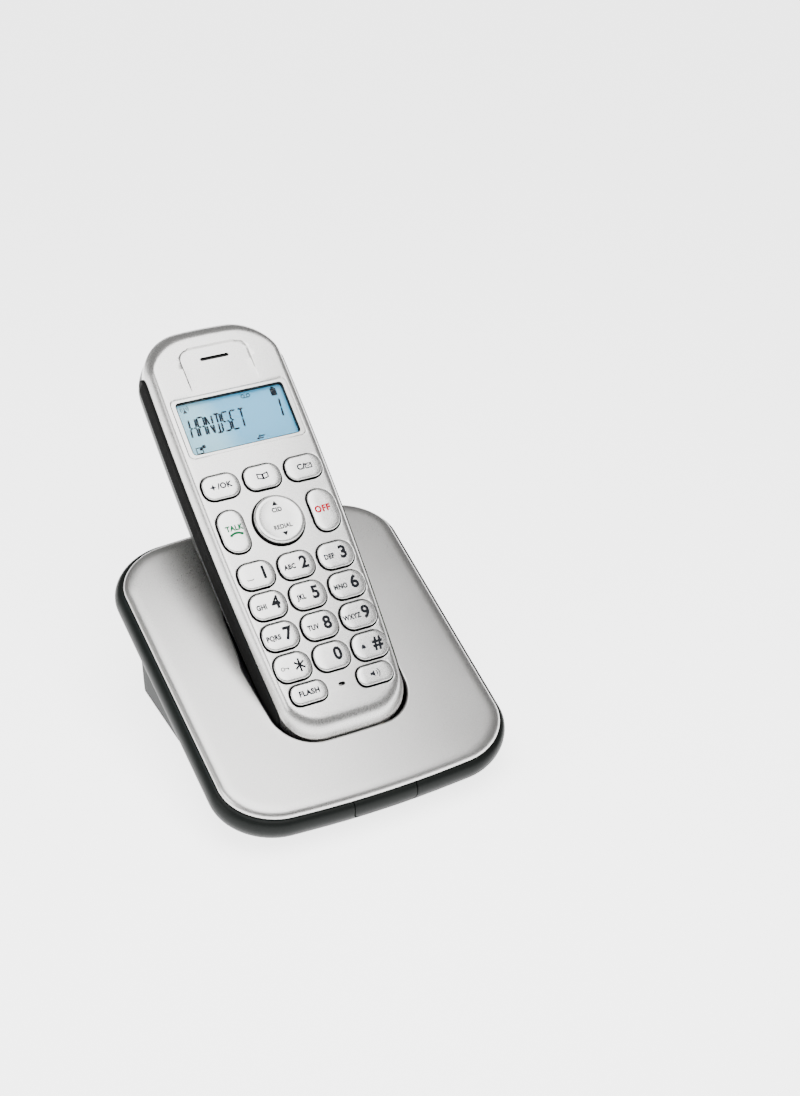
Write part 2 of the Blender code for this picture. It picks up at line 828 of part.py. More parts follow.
def make_rear_shell(handset):
    split = SHELL_SPLIT - GAP

    def ring(inset, share, wall):
        points = []
        for x, y in full_ring(handset_half(inset)):
            deep = back_height(y) + wall
            if y > DOOR_BOTTOM - 0.1:
                deep = BACK_UPPER + wall
            points.append((x, y, split + (deep - split) * share))
        return points

    rings = [
        ring(0.0, 0.0, 0.0),
        ring(0.0, 0.3, 0.0),
        ring(0.5, 0.6, 0.0),
        ring(1.8, 0.83, 0.0),
        ring(3.6, 0.95, 0.0),
        ring(6.2, 1.0, 0.0),
    ]
    shell = add_object("handset_rear_shell", loft(rings), charcoal(), handset)
    inner = [
        [(x, y, split + 2.0) for x, y in full_ring(handset_half(SIDE_WALL))],
        ring(SIDE_WALL, 0.2, BACK_WALL),
        ring(SIDE_WALL + 0.4, 0.7, BACK_WALL),
        ring(SIDE_WALL + 3.0, 1.0, BACK_WALL),
    ]
    boolean(shell, as_cutter(add_object("rear_hollow", loft(inner), None, handset)))
    for name, side in (("left", -1), ("right", 1)):
        boolean(shell, grip_seat(handset, name, side))
    holes = bmesh.new()
    deep = BACK_UPPER - 1.0
    seat = round_rect(2 * DOOR_HALF_WIDTH + 2 * GAP, DOOR_TOP - DOOR_BOTTOM + 9.0, 1.6, (0.0, (DOOR_TOP + DOOR_BOTTOM - 9.0) / 2 + GAP), 3)
    stacked(holes, [(seat, deep), (seat, BACK_UPPER + DOOR_THICK + GAP)])
    boolean(shell, as_cutter(add_object("door_seat", holes, None, handset)))
    bay = bmesh.new()
    hollow = round_rect(2 * DOOR_HALF_WIDTH - 3.0, DOOR_TOP - DOOR_BOTTOM - 3.0, 1.6, (0.0, (DOOR_TOP + DOOR_BOTTOM) / 2), 3)
    stacked(bay, [(hollow, deep), (hollow, SHELL_SPLIT - 1.5)])
    boolean(shell, as_cutter(add_object("bay_hole", bay, None, handset)))
    boolean(shell, contact_seats(handset))
    return shell


def contact_seats(handset):
    made = bpy.data.objects.get("contact_seats")
    if made is None:
        bm = bmesh.new()
        half = CONTACT_HALF_WIDTH + GAP
        for side in (-1, 1):
            x = side * CONTACT_U
            seat = round_rect(2 * half, 4.0, 0.3, (x, HANDSET_BOTTOM - 0.5), 1)
            stacked(bm, [(seat, CONTACT_N[0] - GAP), (seat, CONTACT_N[1] + GAP)])
        made = as_cutter(add_object("contact_seats", bm, None, handset))
    return made


def make_battery_door(handset):
    outline = round_rect(
        2 * DOOR_HALF_WIDTH, DOOR_TOP - DOOR_BOTTOM, 1.4, (0.0, (DOOR_TOP + DOOR_BOTTOM) / 2), 3
    )
    layers = [(outline, BACK_UPPER), (outline, BACK_UPPER + DOOR_THICK)]
    origin = (0.0, (DOOR_TOP + DOOR_BOTTOM) / 2, BACK_UPPER)
    return add_object("battery_door", stack(layers), charcoal(), handset, origin)


def make_cells(handset):
    for side, name in ((-1, "left"), (1, "right")):
        low = CELL_V - CELL_LENGTH / 2
        x = side * CELL_U
        start = (x, low, CELL_N)
        end = (x, low + CELL_LENGTH, CELL_N)
        cell = cylinder(CELL_RADIUS, start, end, 20)
        add_object(f"battery_cell_{name}", cell, material("cell_wrap", (0.05, 0.25, 0.1), 0.4, 0.0), handset)


def make_handset_contacts(handset):
    for side, name in ((-1, "left"), (1, "right")):
        middle = side * CONTACT_U
        low = (middle - CONTACT_HALF_WIDTH, HANDSET_BOTTOM, CONTACT_N[0])
        high = (middle + CONTACT_HALF_WIDTH, HANDSET_BOTTOM + 1.2, CONTACT_N[1])
        add_object(f"handset_contact_{name}", box(low, high), metal(), handset, smooth=False)


def plate_piece(name, finish, outline, top, bottom, handset):
    return add_object(name, stack([(outline, bottom), (outline, top)]), finish, handset, smooth=False)


def make_display(handset):
    lens = round_rect(WINDOW_WIDTH - 2 * GAP, WINDOW_HEIGHT - 2 * GAP, 1.0, (0.0, WINDOW_V), 3)
    plate_piece("display_window", material("clear_window", (0.5, 0.75, 0.85), 0.1, 0.0), lens, -0.7, -1.9, handset)
    panel = round_rect(WINDOW_WIDTH + 1.0, WINDOW_HEIGHT + 2.0, 0.5, (0.0, WINDOW_V), 1)
    plate_piece("display_panel", material("display_glass", (0.35, 0.62, 0.75), 0.2, 0.0), panel, -2.2, -3.6, handset)
    plate_piece("display_backlight", material("light_guide", (0.8, 0.9, 0.95), 0.4, 0.0), panel, -3.9, -5.2, handset)


def make_handset_board(handset):
    outline = round_rect(33.0, 118.0, 2.0, (0.0, -2.0), 2)
    return plate_piece("handset_circuit_board", board_green(), outline, BOARD[0], BOARD[1], handset)


def make_membrane(handset):
    outline = round_rect(34.0, 80.0, 3.0, (0.0, -18.5), 3)
    layer = plate_piece("keypad_membrane", rubber(), outline, MEMBRANE[0], MEMBRANE[1], handset)
    hole = stack([(round_disc(2.6, (0.0, LOW_V), 16), -8.0), (round_disc(2.6, (0.0, LOW_V), 16), 0.0)])
    boolean(layer, as_cutter(add_object("microphone_hole", hole, None, handset)))
    return layer


def make_sound_pieces(handset):
    disc = round_disc(8.0, (0.0, SLOT_V - 2.0), 24)
    plate_piece("earpiece_speaker", black(), disc, -FACE_THICK - 0.4, -FACE_THICK - 3.2, handset)
    disc = round_disc(10.0, (0.0, -28.0), 24)
    plate_piece("loudspeaker", black(), disc, -13.0, -16.5, handset)
    disc = round_disc(2.0, (0.0, LOW_V), 14)
    plate_piece("microphone", metal(), disc, -FACE_THICK - 0.4, BOARD[0] + GAP, handset)


# Keys.


def column(v):
    return COLUMN_AT_NAV + COLUMN_TAPER * v


def kidney(width, height, radius, centre, waist, side):
    """A round-ended key whose inner side is drawn in where it passes the rocker key."""
    points = []
    for x, y in round_rect(width, height, radius, (0.0, 0.0), 5):
        if side * x < 0:
            x -= -side * 0.0
            share = max(0.0, 1 - (2 * y / height) ** 2)
            x += side * waist * share
        points.append((x + centre[0], y + centre[1]))
    return points


def key_places():
    """Each key's name, its centre and its width, height and corner radius."""
    places = {
        "menu_key": ((-SOFT_U, SOFT_V), SOFT_KEY),
        "phonebook_key": ((0.0, SOFT_V), SOFT_KEY),
        "clear_key": ((SOFT_U, SOFT_V), SOFT_KEY),
        "talk_key": ((-CALL_U, CALL_V), CALL_KEY),
        "off_key": ((CALL_U, CALL_V), CALL_KEY),
        "flash_key": ((-LOW_U, LOW_V), LOW_KEY),
        "speaker_key": ((LOW_U, LOW_V), LOW_KEY),
    }
    names = ("1", "2", "3", "4", "5", "6", "7", "8", "9", "star", "0", "pound")
    for i, name in enumerate(names):
        v = ROW_FIRST - ROW_PITCH * (i // 3)
        u = column(v) * (i % 3 - 1)
        places[f"key_{name}"] = ((u, v), NUMBER_KEY)
    return places


def key_outline(name, centre, size, grow):
    width, height, radius = size
    width += 2 * grow
    height += 2 * grow
    radius += grow
    if name == "talk_key":
        return kidney(width, height, radius, centre, CALL_WAIST, -1)
    if name == "off_key":
        return kidney(width, height, radius, centre, CALL_WAIST, 1)
    return round_rect(width, height, radius, centre, 4)


def key_flange(name, centre, size):
    """The key's outline grown all round, but not towards the shell's side wall."""
    limit = abs(centre[0]) + size[0] / 2 + 0.05
    points = key_outline(name, centre, size, KEY_FLANGE)
    if centre[0] == 0.0:
        return points
    return [(max(-limit, min(limit, x)), y) for x, y in points]


def key_outlines(grow):
    made = {name: key_outline(name, centre, size, grow) for name, (centre, size) in key_places().items()}
    made["nav_key"] = round_disc(NAV_RADIUS + grow, (0.0, 0.0), 32)
    return made


def make_keys(handset):
    for name, (centre, size) in key_places().items():
        wide = key_flange(name, centre, size)
        body = key_outline(name, centre, size, 0.0)
        soft = key_outline(name, centre, size, -0.35)
        crown = key_outline(name, centre, size, -1.1)
        layers = [
            (wide, -FACE_THICK - 1.2),
            (wide, -FACE_THICK - 0.4),
            (body, -FACE_THICK - 0.4),
            (body, KEY_TOP - 0.5),
            (soft, KEY_TOP - 0.15),
            (crown, KEY_TOP),
        ]
        origin = (centre[0], centre[1], 0.0)
        add_object(name, stack(layers), silver(), handset, origin)


def make_nav_key(handset):
    def disc(radius):
        return round_disc(radius, (0.0, 0.0), 32)

    layers = [
        (disc(NAV_RADIUS + KEY_FLANGE), -FACE_THICK - 1.2),
        (disc(NAV_RADIUS + KEY_FLANGE), -FACE_THICK - 0.5),
        (disc(NAV_RADIUS), -FACE_THICK - 0.5),
        (disc(NAV_RADIUS), NAV_TOP - 0.8),
        (disc(NAV_RADIUS - 0.5), NAV_TOP - 0.2),
        (disc(NAV_RADIUS - 1.3), NAV_TOP),
    ]
    return add_object("nav_key", stack(layers), silver(), handset)


def centre_on_floor():
    """Moves everything level, so that the whole object's footprint is centred on the origin."""
    bpy.context.view_layer.update()
    graph = bpy.context.evaluated_depsgraph_get()
    corners = []
    for thing in bpy.data.objects:
        if thing.type == "MESH" and not thing.hide_render:
            solid = thing.evaluated_get(graph)
            corners += [solid.matrix_world @ vertex.co for vertex in solid.data.vertices]
    ys = [corner.y for corner in corners]
    shift = -(min(ys) + max(ys)) / 2
    for thing in bpy.data.objects:
        if thing.parent is None:
            thing.location.y += shift


def main():
    clear_scene()
    plate = frame("plate_frame", (0.0, PLATE_FRONT_Y, PLATE_FRONT_Z), PLATE_TILT)
    nav = to_world(0.0, NAV_ALONG_PLATE, NAV_ABOVE_PLATE)
    handset = frame("handset_frame", nav, HANDSET_LEAN)
    make_base_top_cover(plate, handset)
    make_base_skirt(plate)
    make_page_key(plate)
    make_page_switch(plate)
    make_base_lower_housing(plate)
    make_line_jack()
    make_power_jack()
    make_feet()
    make_base_screws()
    make_base_board()
    make_base_antenna()
    make_cradle_liner(plate, handset)
    make_cradle_contacts(handset)
    make_front_shell(handset)
    make_rear_shell(handset)
    make_grips(handset)
    make_battery_door(handset)
    make_cells(handset)
    make_handset_contacts(handset)
    make_display(handset)
    make_handset_board(handset)
    make_membrane(handset)
    make_sound_pieces(handset)
    make_keys(handset)
    make_nav_key(handset)
    centre_on_floor()


main()
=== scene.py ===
# %% [markdown]
# # A cordless telephone in its desk base
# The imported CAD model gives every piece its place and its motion. This script gives the visible pieces
# their finished surfaces: smoother edges, printed legends, a lit display and the paint and rubber that
# the real ones have. The pieces are made one cell at a time, from the base upwards.

# %% Load the frame
import json
import math

import bmesh
import bpy
from mathutils import Matrix, Vector
from mathutils.bvhtree import BVHTree

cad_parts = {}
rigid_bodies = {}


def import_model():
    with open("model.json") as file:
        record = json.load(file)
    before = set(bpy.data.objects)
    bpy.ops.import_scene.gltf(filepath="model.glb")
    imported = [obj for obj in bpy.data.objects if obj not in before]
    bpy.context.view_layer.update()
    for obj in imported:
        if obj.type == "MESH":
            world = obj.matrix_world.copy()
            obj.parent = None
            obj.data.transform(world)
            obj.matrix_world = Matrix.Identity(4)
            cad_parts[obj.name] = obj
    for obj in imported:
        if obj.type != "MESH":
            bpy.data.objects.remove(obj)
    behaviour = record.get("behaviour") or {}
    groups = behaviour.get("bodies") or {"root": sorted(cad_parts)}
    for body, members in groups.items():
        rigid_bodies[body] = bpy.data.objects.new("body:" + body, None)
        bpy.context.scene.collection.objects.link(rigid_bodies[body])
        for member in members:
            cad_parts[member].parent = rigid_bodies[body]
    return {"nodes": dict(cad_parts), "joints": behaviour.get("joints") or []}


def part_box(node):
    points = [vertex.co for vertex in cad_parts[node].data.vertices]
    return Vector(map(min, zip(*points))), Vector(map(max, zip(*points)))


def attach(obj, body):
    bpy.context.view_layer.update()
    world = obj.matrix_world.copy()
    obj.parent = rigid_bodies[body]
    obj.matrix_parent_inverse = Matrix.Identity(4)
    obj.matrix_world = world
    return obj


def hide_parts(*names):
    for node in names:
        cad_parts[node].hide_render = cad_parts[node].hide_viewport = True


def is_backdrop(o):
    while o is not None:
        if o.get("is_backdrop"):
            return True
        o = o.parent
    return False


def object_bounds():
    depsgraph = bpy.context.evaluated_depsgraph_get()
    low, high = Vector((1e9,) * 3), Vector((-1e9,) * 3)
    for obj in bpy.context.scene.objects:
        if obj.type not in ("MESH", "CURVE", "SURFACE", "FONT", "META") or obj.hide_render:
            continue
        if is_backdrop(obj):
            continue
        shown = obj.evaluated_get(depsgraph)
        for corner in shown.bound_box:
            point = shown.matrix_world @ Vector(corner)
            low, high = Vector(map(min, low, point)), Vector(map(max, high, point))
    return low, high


for leftover in list(bpy.data.objects):
    bpy.data.objects.remove(leftover)
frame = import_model()
cad_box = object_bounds()
joints = {joint["name"]: joint for joint in frame["joints"]}
MM = 0.001

# %% [markdown]
# Two slopes matter on this telephone: the base's top plate and the handset's face. Each gets a frame of
# its own, with X to the right, Y up the slope and Z out of the surface, so a piece can be drawn flat and
# in millimetres. The directions come from the joints: the handset lifts along its own length, and the
# page key is pushed in along the plate.


# %% The two sloping frames
def sloping_frame(up, origin):
    right = Vector((1, 0, 0))
    out = right.cross(up)
    turned = Matrix((right, up, out)).transposed().to_4x4()
    return Matrix.Translation(origin) @ turned


NAV_ON_PLATE = (85.0, 23.4)
handset_up = Vector(joints["handset_lift"]["axis"]).normalized()
plate_up = Vector(joints["page_key_press"]["axis"]).normalized()
HANDSET = sloping_frame(handset_up, Vector(joints["nav_key_rock"]["pos_m"]))
PLATE = sloping_frame(plate_up, (0, 0, 0))
PLATE.translation = HANDSET.translation - PLATE.to_3x3() @ Vector((0, *NAV_ON_PLATE)) * MM
DESK = Matrix.Identity(4)
TO_ROOM = HANDSET @ Matrix.Scale(MM, 4)
KEEP_MM = Matrix.Scale(1000, 4)  # undoes the scale to metres, for a piece not yet placed in the room
handset_on_plate = PLATE.inverted() @ HANDSET
print("handset leans", round(math.degrees(math.asin(handset_up.z)), 1), "degrees")

# %% [markdown]
# Most housings here are lofts: one closed outline is repeated at several depths, a little smaller each
# time, and the rows are joined by quads. The outline is a rectangle with round corners whose ends bow
# outwards and whose half width may change along its length, as the handset's does.


# %% Outlines with bowed ends
def outline(half_width, bottom, top, radii, crowns, inset, steps=16):
    """Points round the shape, anticlockwise from its bottom centre."""
    bottom += inset
    top -= inset
    half = [(0.0, bottom)]

    def corner(side, edge, radius, crown):
        radius = max(radius - inset, 0.6)
        centre_y = edge - side * radius
        wide = half_width(centre_y) - inset
        for i in range(steps + 1):
            angle = math.radians(90) * (i / steps if side > 0 else i / steps - 1)
            x = wide - radius + radius * math.cos(angle)
            bow = side * crown * (1 - (x / wide) ** 2)
            half.append((x, centre_y + (radius - crown) * math.sin(angle) + bow))

    for i in range(1, 5):
        x = (half_width(bottom) - radii[0]) * i / 5
        half.append((x, bottom + crowns[0] * (x / half_width(bottom)) ** 2))
    corner(-1, bottom, radii[0], crowns[0])
    low, high = half[-1][1], top - max(radii[1] - inset, 0.6)
    for i in range(1, 2 * steps):
        y = low + (high - low) * i / (2 * steps)
        half.append((half_width(y) - inset, y))
    corner(1, top, radii[1], crowns[1])
    for i in range(4, 0, -1):
        x = (half_width(top) - radii[1]) * i / 5
        half.append((x, top - crowns[1] * (x / half_width(top)) ** 2))
    half.append((0.0, top))
    return half + [(-x, y) for x, y in reversed(half[1:-1])]


# %% Lofts
def loft(rows, ends="ladder"):
    """Quads between rows of points. The ends are ladders of quads, or flat faces, or joined."""
    bm = bmesh.new()
    rows = [[bm.verts.new(point) for point in row] for row in rows]
    count = len(rows[0])
    for low, high in zip(rows, rows[1:] + rows[:1] if ends == "joined" else rows[1:]):
        for i in range(count):
            j = (i + 1) % count
            bm.faces.new((low[i], low[j], high[j], high[i]))
    for row in () if ends == "joined" else (rows[0], rows[-1]):
        if ends == "flat":
            bm.faces.new(row)
            continue
        for i in range(count // 2):
            corners = [row[i], row[i + 1], row[-i - 1], row[-i]]
            bm.faces.new([v for k, v in enumerate(corners) if v not in corners[:k]])
    return bm


def merged(parts):
    """Several drawn shapes as one."""
    total = bmesh.new()
    for part in parts:
        mesh = bpy.data.meshes.new("part")
        part.to_mesh(mesh)
        part.free()
        total.from_mesh(mesh)
        bpy.data.meshes.remove(mesh)
    return total


# %% Plain outlines
def rounded(width, height, radius, centre=(0.0, 0.0), steps=8):
    """Points round a plain rectangle with round corners."""
    points = []
    for turn, (sx, sy) in enumerate(((1, -1), (1, 1), (-1, 1), (-1, -1))):
        for i in range(steps + 1):
            angle = math.radians(90 * (turn - 1) + 90 * i / steps)
            x = sx * (width / 2 - radius) + radius * math.cos(angle)
            y = sy * (height / 2 - radius) + radius * math.sin(angle)
            points.append((x + centre[0], y + centre[1]))
    return points


def disc(radius, centre=(0.0, 0.0), steps=64):
    turns = (2 * math.pi * i / steps for i in range(steps))
    return [(centre[0] + radius * math.cos(t), centre[1] + radius * math.sin(t)) for t in turns]


def at(points, height):
    return [(x, y, height) for x, y in points]


def stepped(width, height, radius, centre, profile, steps=8):
    """Rows for a rounded plate whose rim follows a profile of (inset, height) pairs."""
    return [at(rounded(width - 2 * i, height - 2 * i, radius, centre, steps), n) for i, n in profile]


# %% [markdown]
# A finished piece is a mesh whose points are already in the room, so its object can stay at the origin.
# `carve` cuts one drawn shape out of another while both are still loose meshes.


# %% Making and cutting pieces
def loose_object(name, bm, place=DESK):
    bmesh.ops.remove_doubles(bm, verts=bm.verts, dist=1e-5)
    bmesh.ops.recalc_face_normals(bm, faces=bm.faces)
    mesh = bpy.data.meshes.new(name)
    bm.to_mesh(mesh)
    bm.free()
    mesh.transform(place @ Matrix.Scale(MM, 4))
    made = bpy.data.objects.new(name, mesh)
    bpy.context.scene.collection.objects.link(made)
    return made


def bake_modifiers(piece):
    """The evaluated shape becomes the piece's own mesh, and the modifiers go."""
    graph = bpy.context.evaluated_depsgraph_get()
    mesh = bpy.data.meshes.new_from_object(piece.evaluated_get(graph))
    piece.modifiers.clear()
    piece.data = mesh
    return piece


def carve(piece, bm, place=DESK, operation="DIFFERENCE"):
    tool = loose_object("tool", bm, place)
    cut = piece.modifiers.new("cut", "BOOLEAN")
    cut.operation = operation
    cut.solver = "EXACT"
    cut.object = tool
    bake_modifiers(piece)
    bpy.data.objects.remove(tool)
    return piece


def make_piece(piece, body, finish, nodes=(), angle=38):
    piece.data.materials.clear()
    piece.data.materials.append(finish)
    return ride_piece(shade(piece, angle), body, nodes)


def shade(piece, angle):
    """Smooth over soft edges. Large flat faces count for more, so they stay flat up to their rims."""
    piece.data.shade_smooth()
    piece.data.set_sharp_from_angle(angle=math.radians(angle))
    even = piece.modifiers.new("even", "WEIGHTED_NORMAL")
    even.keep_sharp = True
    return bake_modifiers(piece)


def ride_piece(piece, body, nodes=()):
    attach(piece, body)
    if nodes:
        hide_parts(*nodes)
    return piece


# %% [markdown]
# Node trees get long when each node is made by hand. `Wire` stands for one socket, and its operators add
# the Math nodes, so a formula reads as a formula. `Tree.node` makes every other node from its type, its
# settings and the values or wires of its sockets. The same two classes build the materials and the
# Geometry Nodes further down.


# %% Wires and their operators
class Wire:
    def __init__(self, tree, socket):
        self.tree = tree
        self.socket = socket


def operator(operation, swapped=False):
    def combine(self, other):
        first, second = (other, self) if swapped else (self, other)
        return self.tree.math(operation, first, second)

    return combine


for word, operation in (("add", "ADD"), ("sub", "SUBTRACT"), ("mul", "MULTIPLY"), ("truediv", "DIVIDE")):
    setattr(Wire, f"__{word}__", operator(operation))
    setattr(Wire, f"__r{word}__", operator(operation, swapped=True))
Wire.__mod__ = operator("FLOORED_MODULO")


# %% Node trees written as formulas
class Tree:
    def __init__(self, tree):
        self.tree = tree

    def node(self, kind, settings=None, inputs=None, out=0):
        made = self.tree.nodes.new(kind)
        for name, value in (settings or {}).items():
            if name == "stops":
                for stop, (place, shade) in zip(made.color_ramp.elements, value):
                    stop.position = place
                    stop.color = (shade, shade, shade, 1.0)
            else:
                setattr(made, name, value)
        for name, value in (inputs or {}).items():
            self.feed(made.inputs[name], value)
        return Wire(self, made.outputs[out])

    def feed(self, socket, value):
        if isinstance(value, Wire):
            self.tree.links.new(value.socket, socket)
        else:
            socket.default_value = value

    def math(self, operation, a, b=0.0):
        return self.node("ShaderNodeMath", {"operation": operation}, {0: a, 1: b})

    def parts(self, vector):
        """The three numbers of a vector, each as a wire."""
        split = self.node("ShaderNodeSeparateXYZ", {}, {0: vector}).socket.node
        return [Wire(self, socket) for socket in split.outputs]

    def noise(self, where, scale, detail=2.0, roughness=0.5):
        sizes = {"Vector": where, "Scale": scale, "Detail": detail, "Roughness": roughness}
        return self.node("ShaderNodeTexNoise", {}, sizes)

    def ramp(self, value, low, high):
        """0 below low and 1 above high."""
        return self.node("ShaderNodeValToRGB", {"stops": [(low, 0.0), (high, 1.0)]}, {"Fac": value})

    def blend(self, share, first, second):
        first = (*first, 1.0) if isinstance(first, tuple) else first
        values = {0: share, 6: first, 7: (*second, 1.0)}
        return self.node("ShaderNodeMix", {"data_type": "RGBA"}, values, out=2)

    def bump(self, height, depth):
        return self.node("ShaderNodeBump", {}, {"Height": height, "Distance": depth, "Strength": 1.0})


# %% A new material
def new_material(name, fixed):
    """A material with its shader's plain numbers set, and what is needed to go on with it."""
    made = bpy.data.materials.new(name)
    made.use_nodes = True
    tree = Tree(made.node_tree)
    shader = made.node_tree.nodes["Principled BSDF"]
    for socket, value in fixed.items():
        shader.inputs[socket].default_value = value
    where = tree.node("ShaderNodeTexCoord", out=3)
    return made, tree, shader, where


def vary(tree, shader, colour, roughness=None, normal=None):
    """Feeds the shader what changes from place to place."""
    for name, wire in (("Base Color", colour), ("Roughness", roughness), ("Normal", normal)):
        if wire:
            tree.feed(shader.inputs[name], wire)


# %% [markdown]
# The housing is sprayed with silver paint. Such paint is tiny metal flakes in a clear binder: from near
# it sparkles in fine grains, and from afar it is a satin grey that drifts a little in tone. Two noises do
# it, one at a fifth of a millimetre for the flakes and one at centimetres for the drift. The keys have
# the same flakes under a glossier coat.


# %% Silver paints
def silver_paint(name, light, dark, roughness, coat, metallic):
    fixed = {"Coat Weight": coat, "Coat Roughness": 0.18, "Metallic": metallic}
    made, tree, shader, where = new_material(name, fixed)
    flakes = tree.noise(where, 4200.0, 1.0)
    drift = tree.noise(where, 28.0, 2.0)
    grain = tree.ramp(flakes, 0.3, 0.72)
    tone = tree.blend(grain * 0.55 + drift * 0.3, dark, light)
    satin = grain * 0.12 + drift * 0.1 + (roughness - 0.1)
    vary(tree, shader, tone, satin, tree.bump(flakes, 0.000006))
    return made


HOUSING_SILVER = silver_paint("housing_silver", (0.76, 0.752, 0.74), (0.56, 0.553, 0.54), 0.28, 0.15, 0.92)
COVER_SILVER = silver_paint("cover_silver", (0.72, 0.712, 0.70), (0.50, 0.493, 0.48), 0.33, 0.1, 0.96)
KEY_SILVER = silver_paint("key_silver", (0.82, 0.815, 0.80), (0.68, 0.675, 0.665), 0.24, 0.4, 0.8)

# %% [markdown]
# The dark parts are bare moulded plastic and rubber. The mould's surface was etched, which leaves a fine
# grain that softens the highlights. The skirt is a satin charcoal, the pocket a dull black, and the grips
# a rubber that scatters nearly all its light.


# %% Dark plastics and rubber
DULL = {"Specular IOR Level": 0.08}


def moulded(name, colour, paler, roughness, grain_scale, grain_depth):
    made, tree, shader, where = new_material(name, DULL)
    grain = tree.noise(where, grain_scale, 2.0, 0.6)
    smears = tree.noise(where, 45.0, 3.0, 0.6)
    tone = tree.blend(smears * 0.7 + grain * 0.3, colour, paler)
    vary(tree, shader, tone, smears * 0.14 + (roughness - 0.07), tree.bump(grain, grain_depth))
    return made


CHARCOAL = moulded("skirt_charcoal", (0.006, 0.007, 0.0065), (0.011, 0.013, 0.012), 0.38, 2600.0, 0.00001)
UNDERSIDE = moulded("underside_charcoal", (0.010, 0.011, 0.011), (0.018, 0.020, 0.019), 0.5, 1500.0, 0.00003)
# The same black also serves as painted shade on the handset's hole walls, the caps' sides and the window's
# rim.
BLACK = moulded("pocket_black_and_painted_shade", (0.003, 0.003, 0.003), (0.006, 0.006, 0.006), 0.5, 1800.0, 0.00002)
RUBBER = moulded("grip_rubber", (0.004, 0.004, 0.004), (0.008, 0.008, 0.0078), 0.72, 2200.0, 0.00002)
FOOT_RUBBER = moulded("foot_rubber", (0.02, 0.02, 0.02), (0.035, 0.035, 0.034), 0.85, 1600.0, 0.00003)


def metal(name, colour, roughness):
    made, tree, shader, where = new_material(name, {"Metallic": 1.0})
    wear = tree.noise(where, 900.0, 3.0, 0.7)
    tone = tree.blend(wear * 0.5, colour, tuple(0.7 * c for c in colour))
    vary(tree, shader, tone, wear * 0.2 + (roughness - 0.1))
    return made


CONTACT_METAL = metal("contact_plating", (0.86, 0.80, 0.66), 0.22)
SCREW_METAL = metal("screw_zinc", (0.66, 0.66, 0.64), 0.35)
print("materials", len(bpy.data.materials))

# %% [markdown]
# The base's top cover is a broad plate with a soft rolled edge, painted silver. Its cradle opening is
# where the handset stands, and the paint rolls down into it over a rounded lip. The lip is the reason for
# the funnel-shaped cutter: each of its rows is wider than the one below, so one cut leaves a smooth
# rounded edge instead of a sharp one.

# %% The plate's outline and the cradle opening
PLATE_SIZE = {"half": 45.5, "length": 106.3, "radius": 16.5, "bows": (2.9, 3.6)}
PLATE_THICK = 2.2
RIM_LOW = -8.0  # the cover's inner rim ends here
OPENING_INSET = 0.25
HANDSET_ENDS = (-68.0, 70.0)
SPLIT = -8.15
GAP = 0.3
BACK_LINE = [(-68.0, -11.0), (-61.2, -18.5), (-40.0, -18.5), (1.0, -20.9), (70.0, -20.9)]
POCKET_SECTION = [(-5.5, 1.0), (-2.9, 0.95), (-1.1, 0.83), (0.2, 0.6), (0.65, 0.36), (2.0, 0.33)]
POCKET_GAP = 0.6


def plate_rows(profile):
    """The plate's outline at each (inset, height) of a profile."""
    size = PLATE_SIZE
    shape = (lambda y: size["half"], 0, size["length"], (size["radius"],) * 2, size["bows"])
    return [at(outline(*shape, inset), n) for inset, n in profile]


def handset_width(v):
    """Half the handset's width at a place along it, as a number or as a wire."""
    d = v - 20.0
    return 23.0 + 0.0069 * d - 0.00038 * d * d


def along(places, v):
    """Reads a line of (place, value) pairs, held level past its ends."""
    for (v0, n0), (v1, n1) in zip(places, places[1:]):
        if v <= v1:
            return n0 + (n1 - n0) * max(0.0, v - v0) / (v1 - v0)
    return places[-1][1]


def plate_level_in_handset(v, height=0.0):
    """The depth behind the handset's face at which a level of the plate crosses, at a place along it."""
    lean = handset_on_plate.to_3x3()
    return (height - NAV_ON_PLATE[1] - v * lean[2][1]) / lean[2][2]


def opening_half(v):
    """The pocket narrows under the grips, so the opening does too, the higher up the plate it is."""
    top = SPLIT - GAP
    floor = along(BACK_LINE, v) - POCKET_GAP
    share = (plate_level_in_handset(v) - top) / (floor - top)
    return handset_width(v) + along(OPENING_SHARES, min(1.0, share)) - OPENING_INSET


OPENING_SHARES = [(0.33, 2.0), (0.37, 1.9), (0.41, 1.6), (0.45, 1.2)]
OPENING_SHARES += [(0.49, 0.85), (0.54, 0.5), (0.6, 0.2)]
OPENING_SHARES += [(share, side) for side, share in sorted(POCKET_SECTION, reverse=True) if share > 0.6]
PLACES_UP = (i * 0.1 for i in range(-400, 0))
OPENING_TOP = next(v for v in PLACES_UP if plate_level_in_handset(v) < along(BACK_LINE, v) - 0.35)


def opening_row(grow, height):
    """Where the pocket's walls, square to the handset's face, meet a level of the plate."""
    ends = (HANDSET_ENDS[0] - POCKET_GAP + OPENING_INSET, OPENING_TOP)
    row = []
    turn = handset_on_plate.to_3x3()
    for x, y in outline(opening_half, *ends, (12.5, 2.0), (0.6, 0.0), -grow):
        point = turn @ Vector((x, y, plate_level_in_handset(y, height)))
        row.append((point.x, point.y + NAV_ON_PLATE[0], height))
    return row


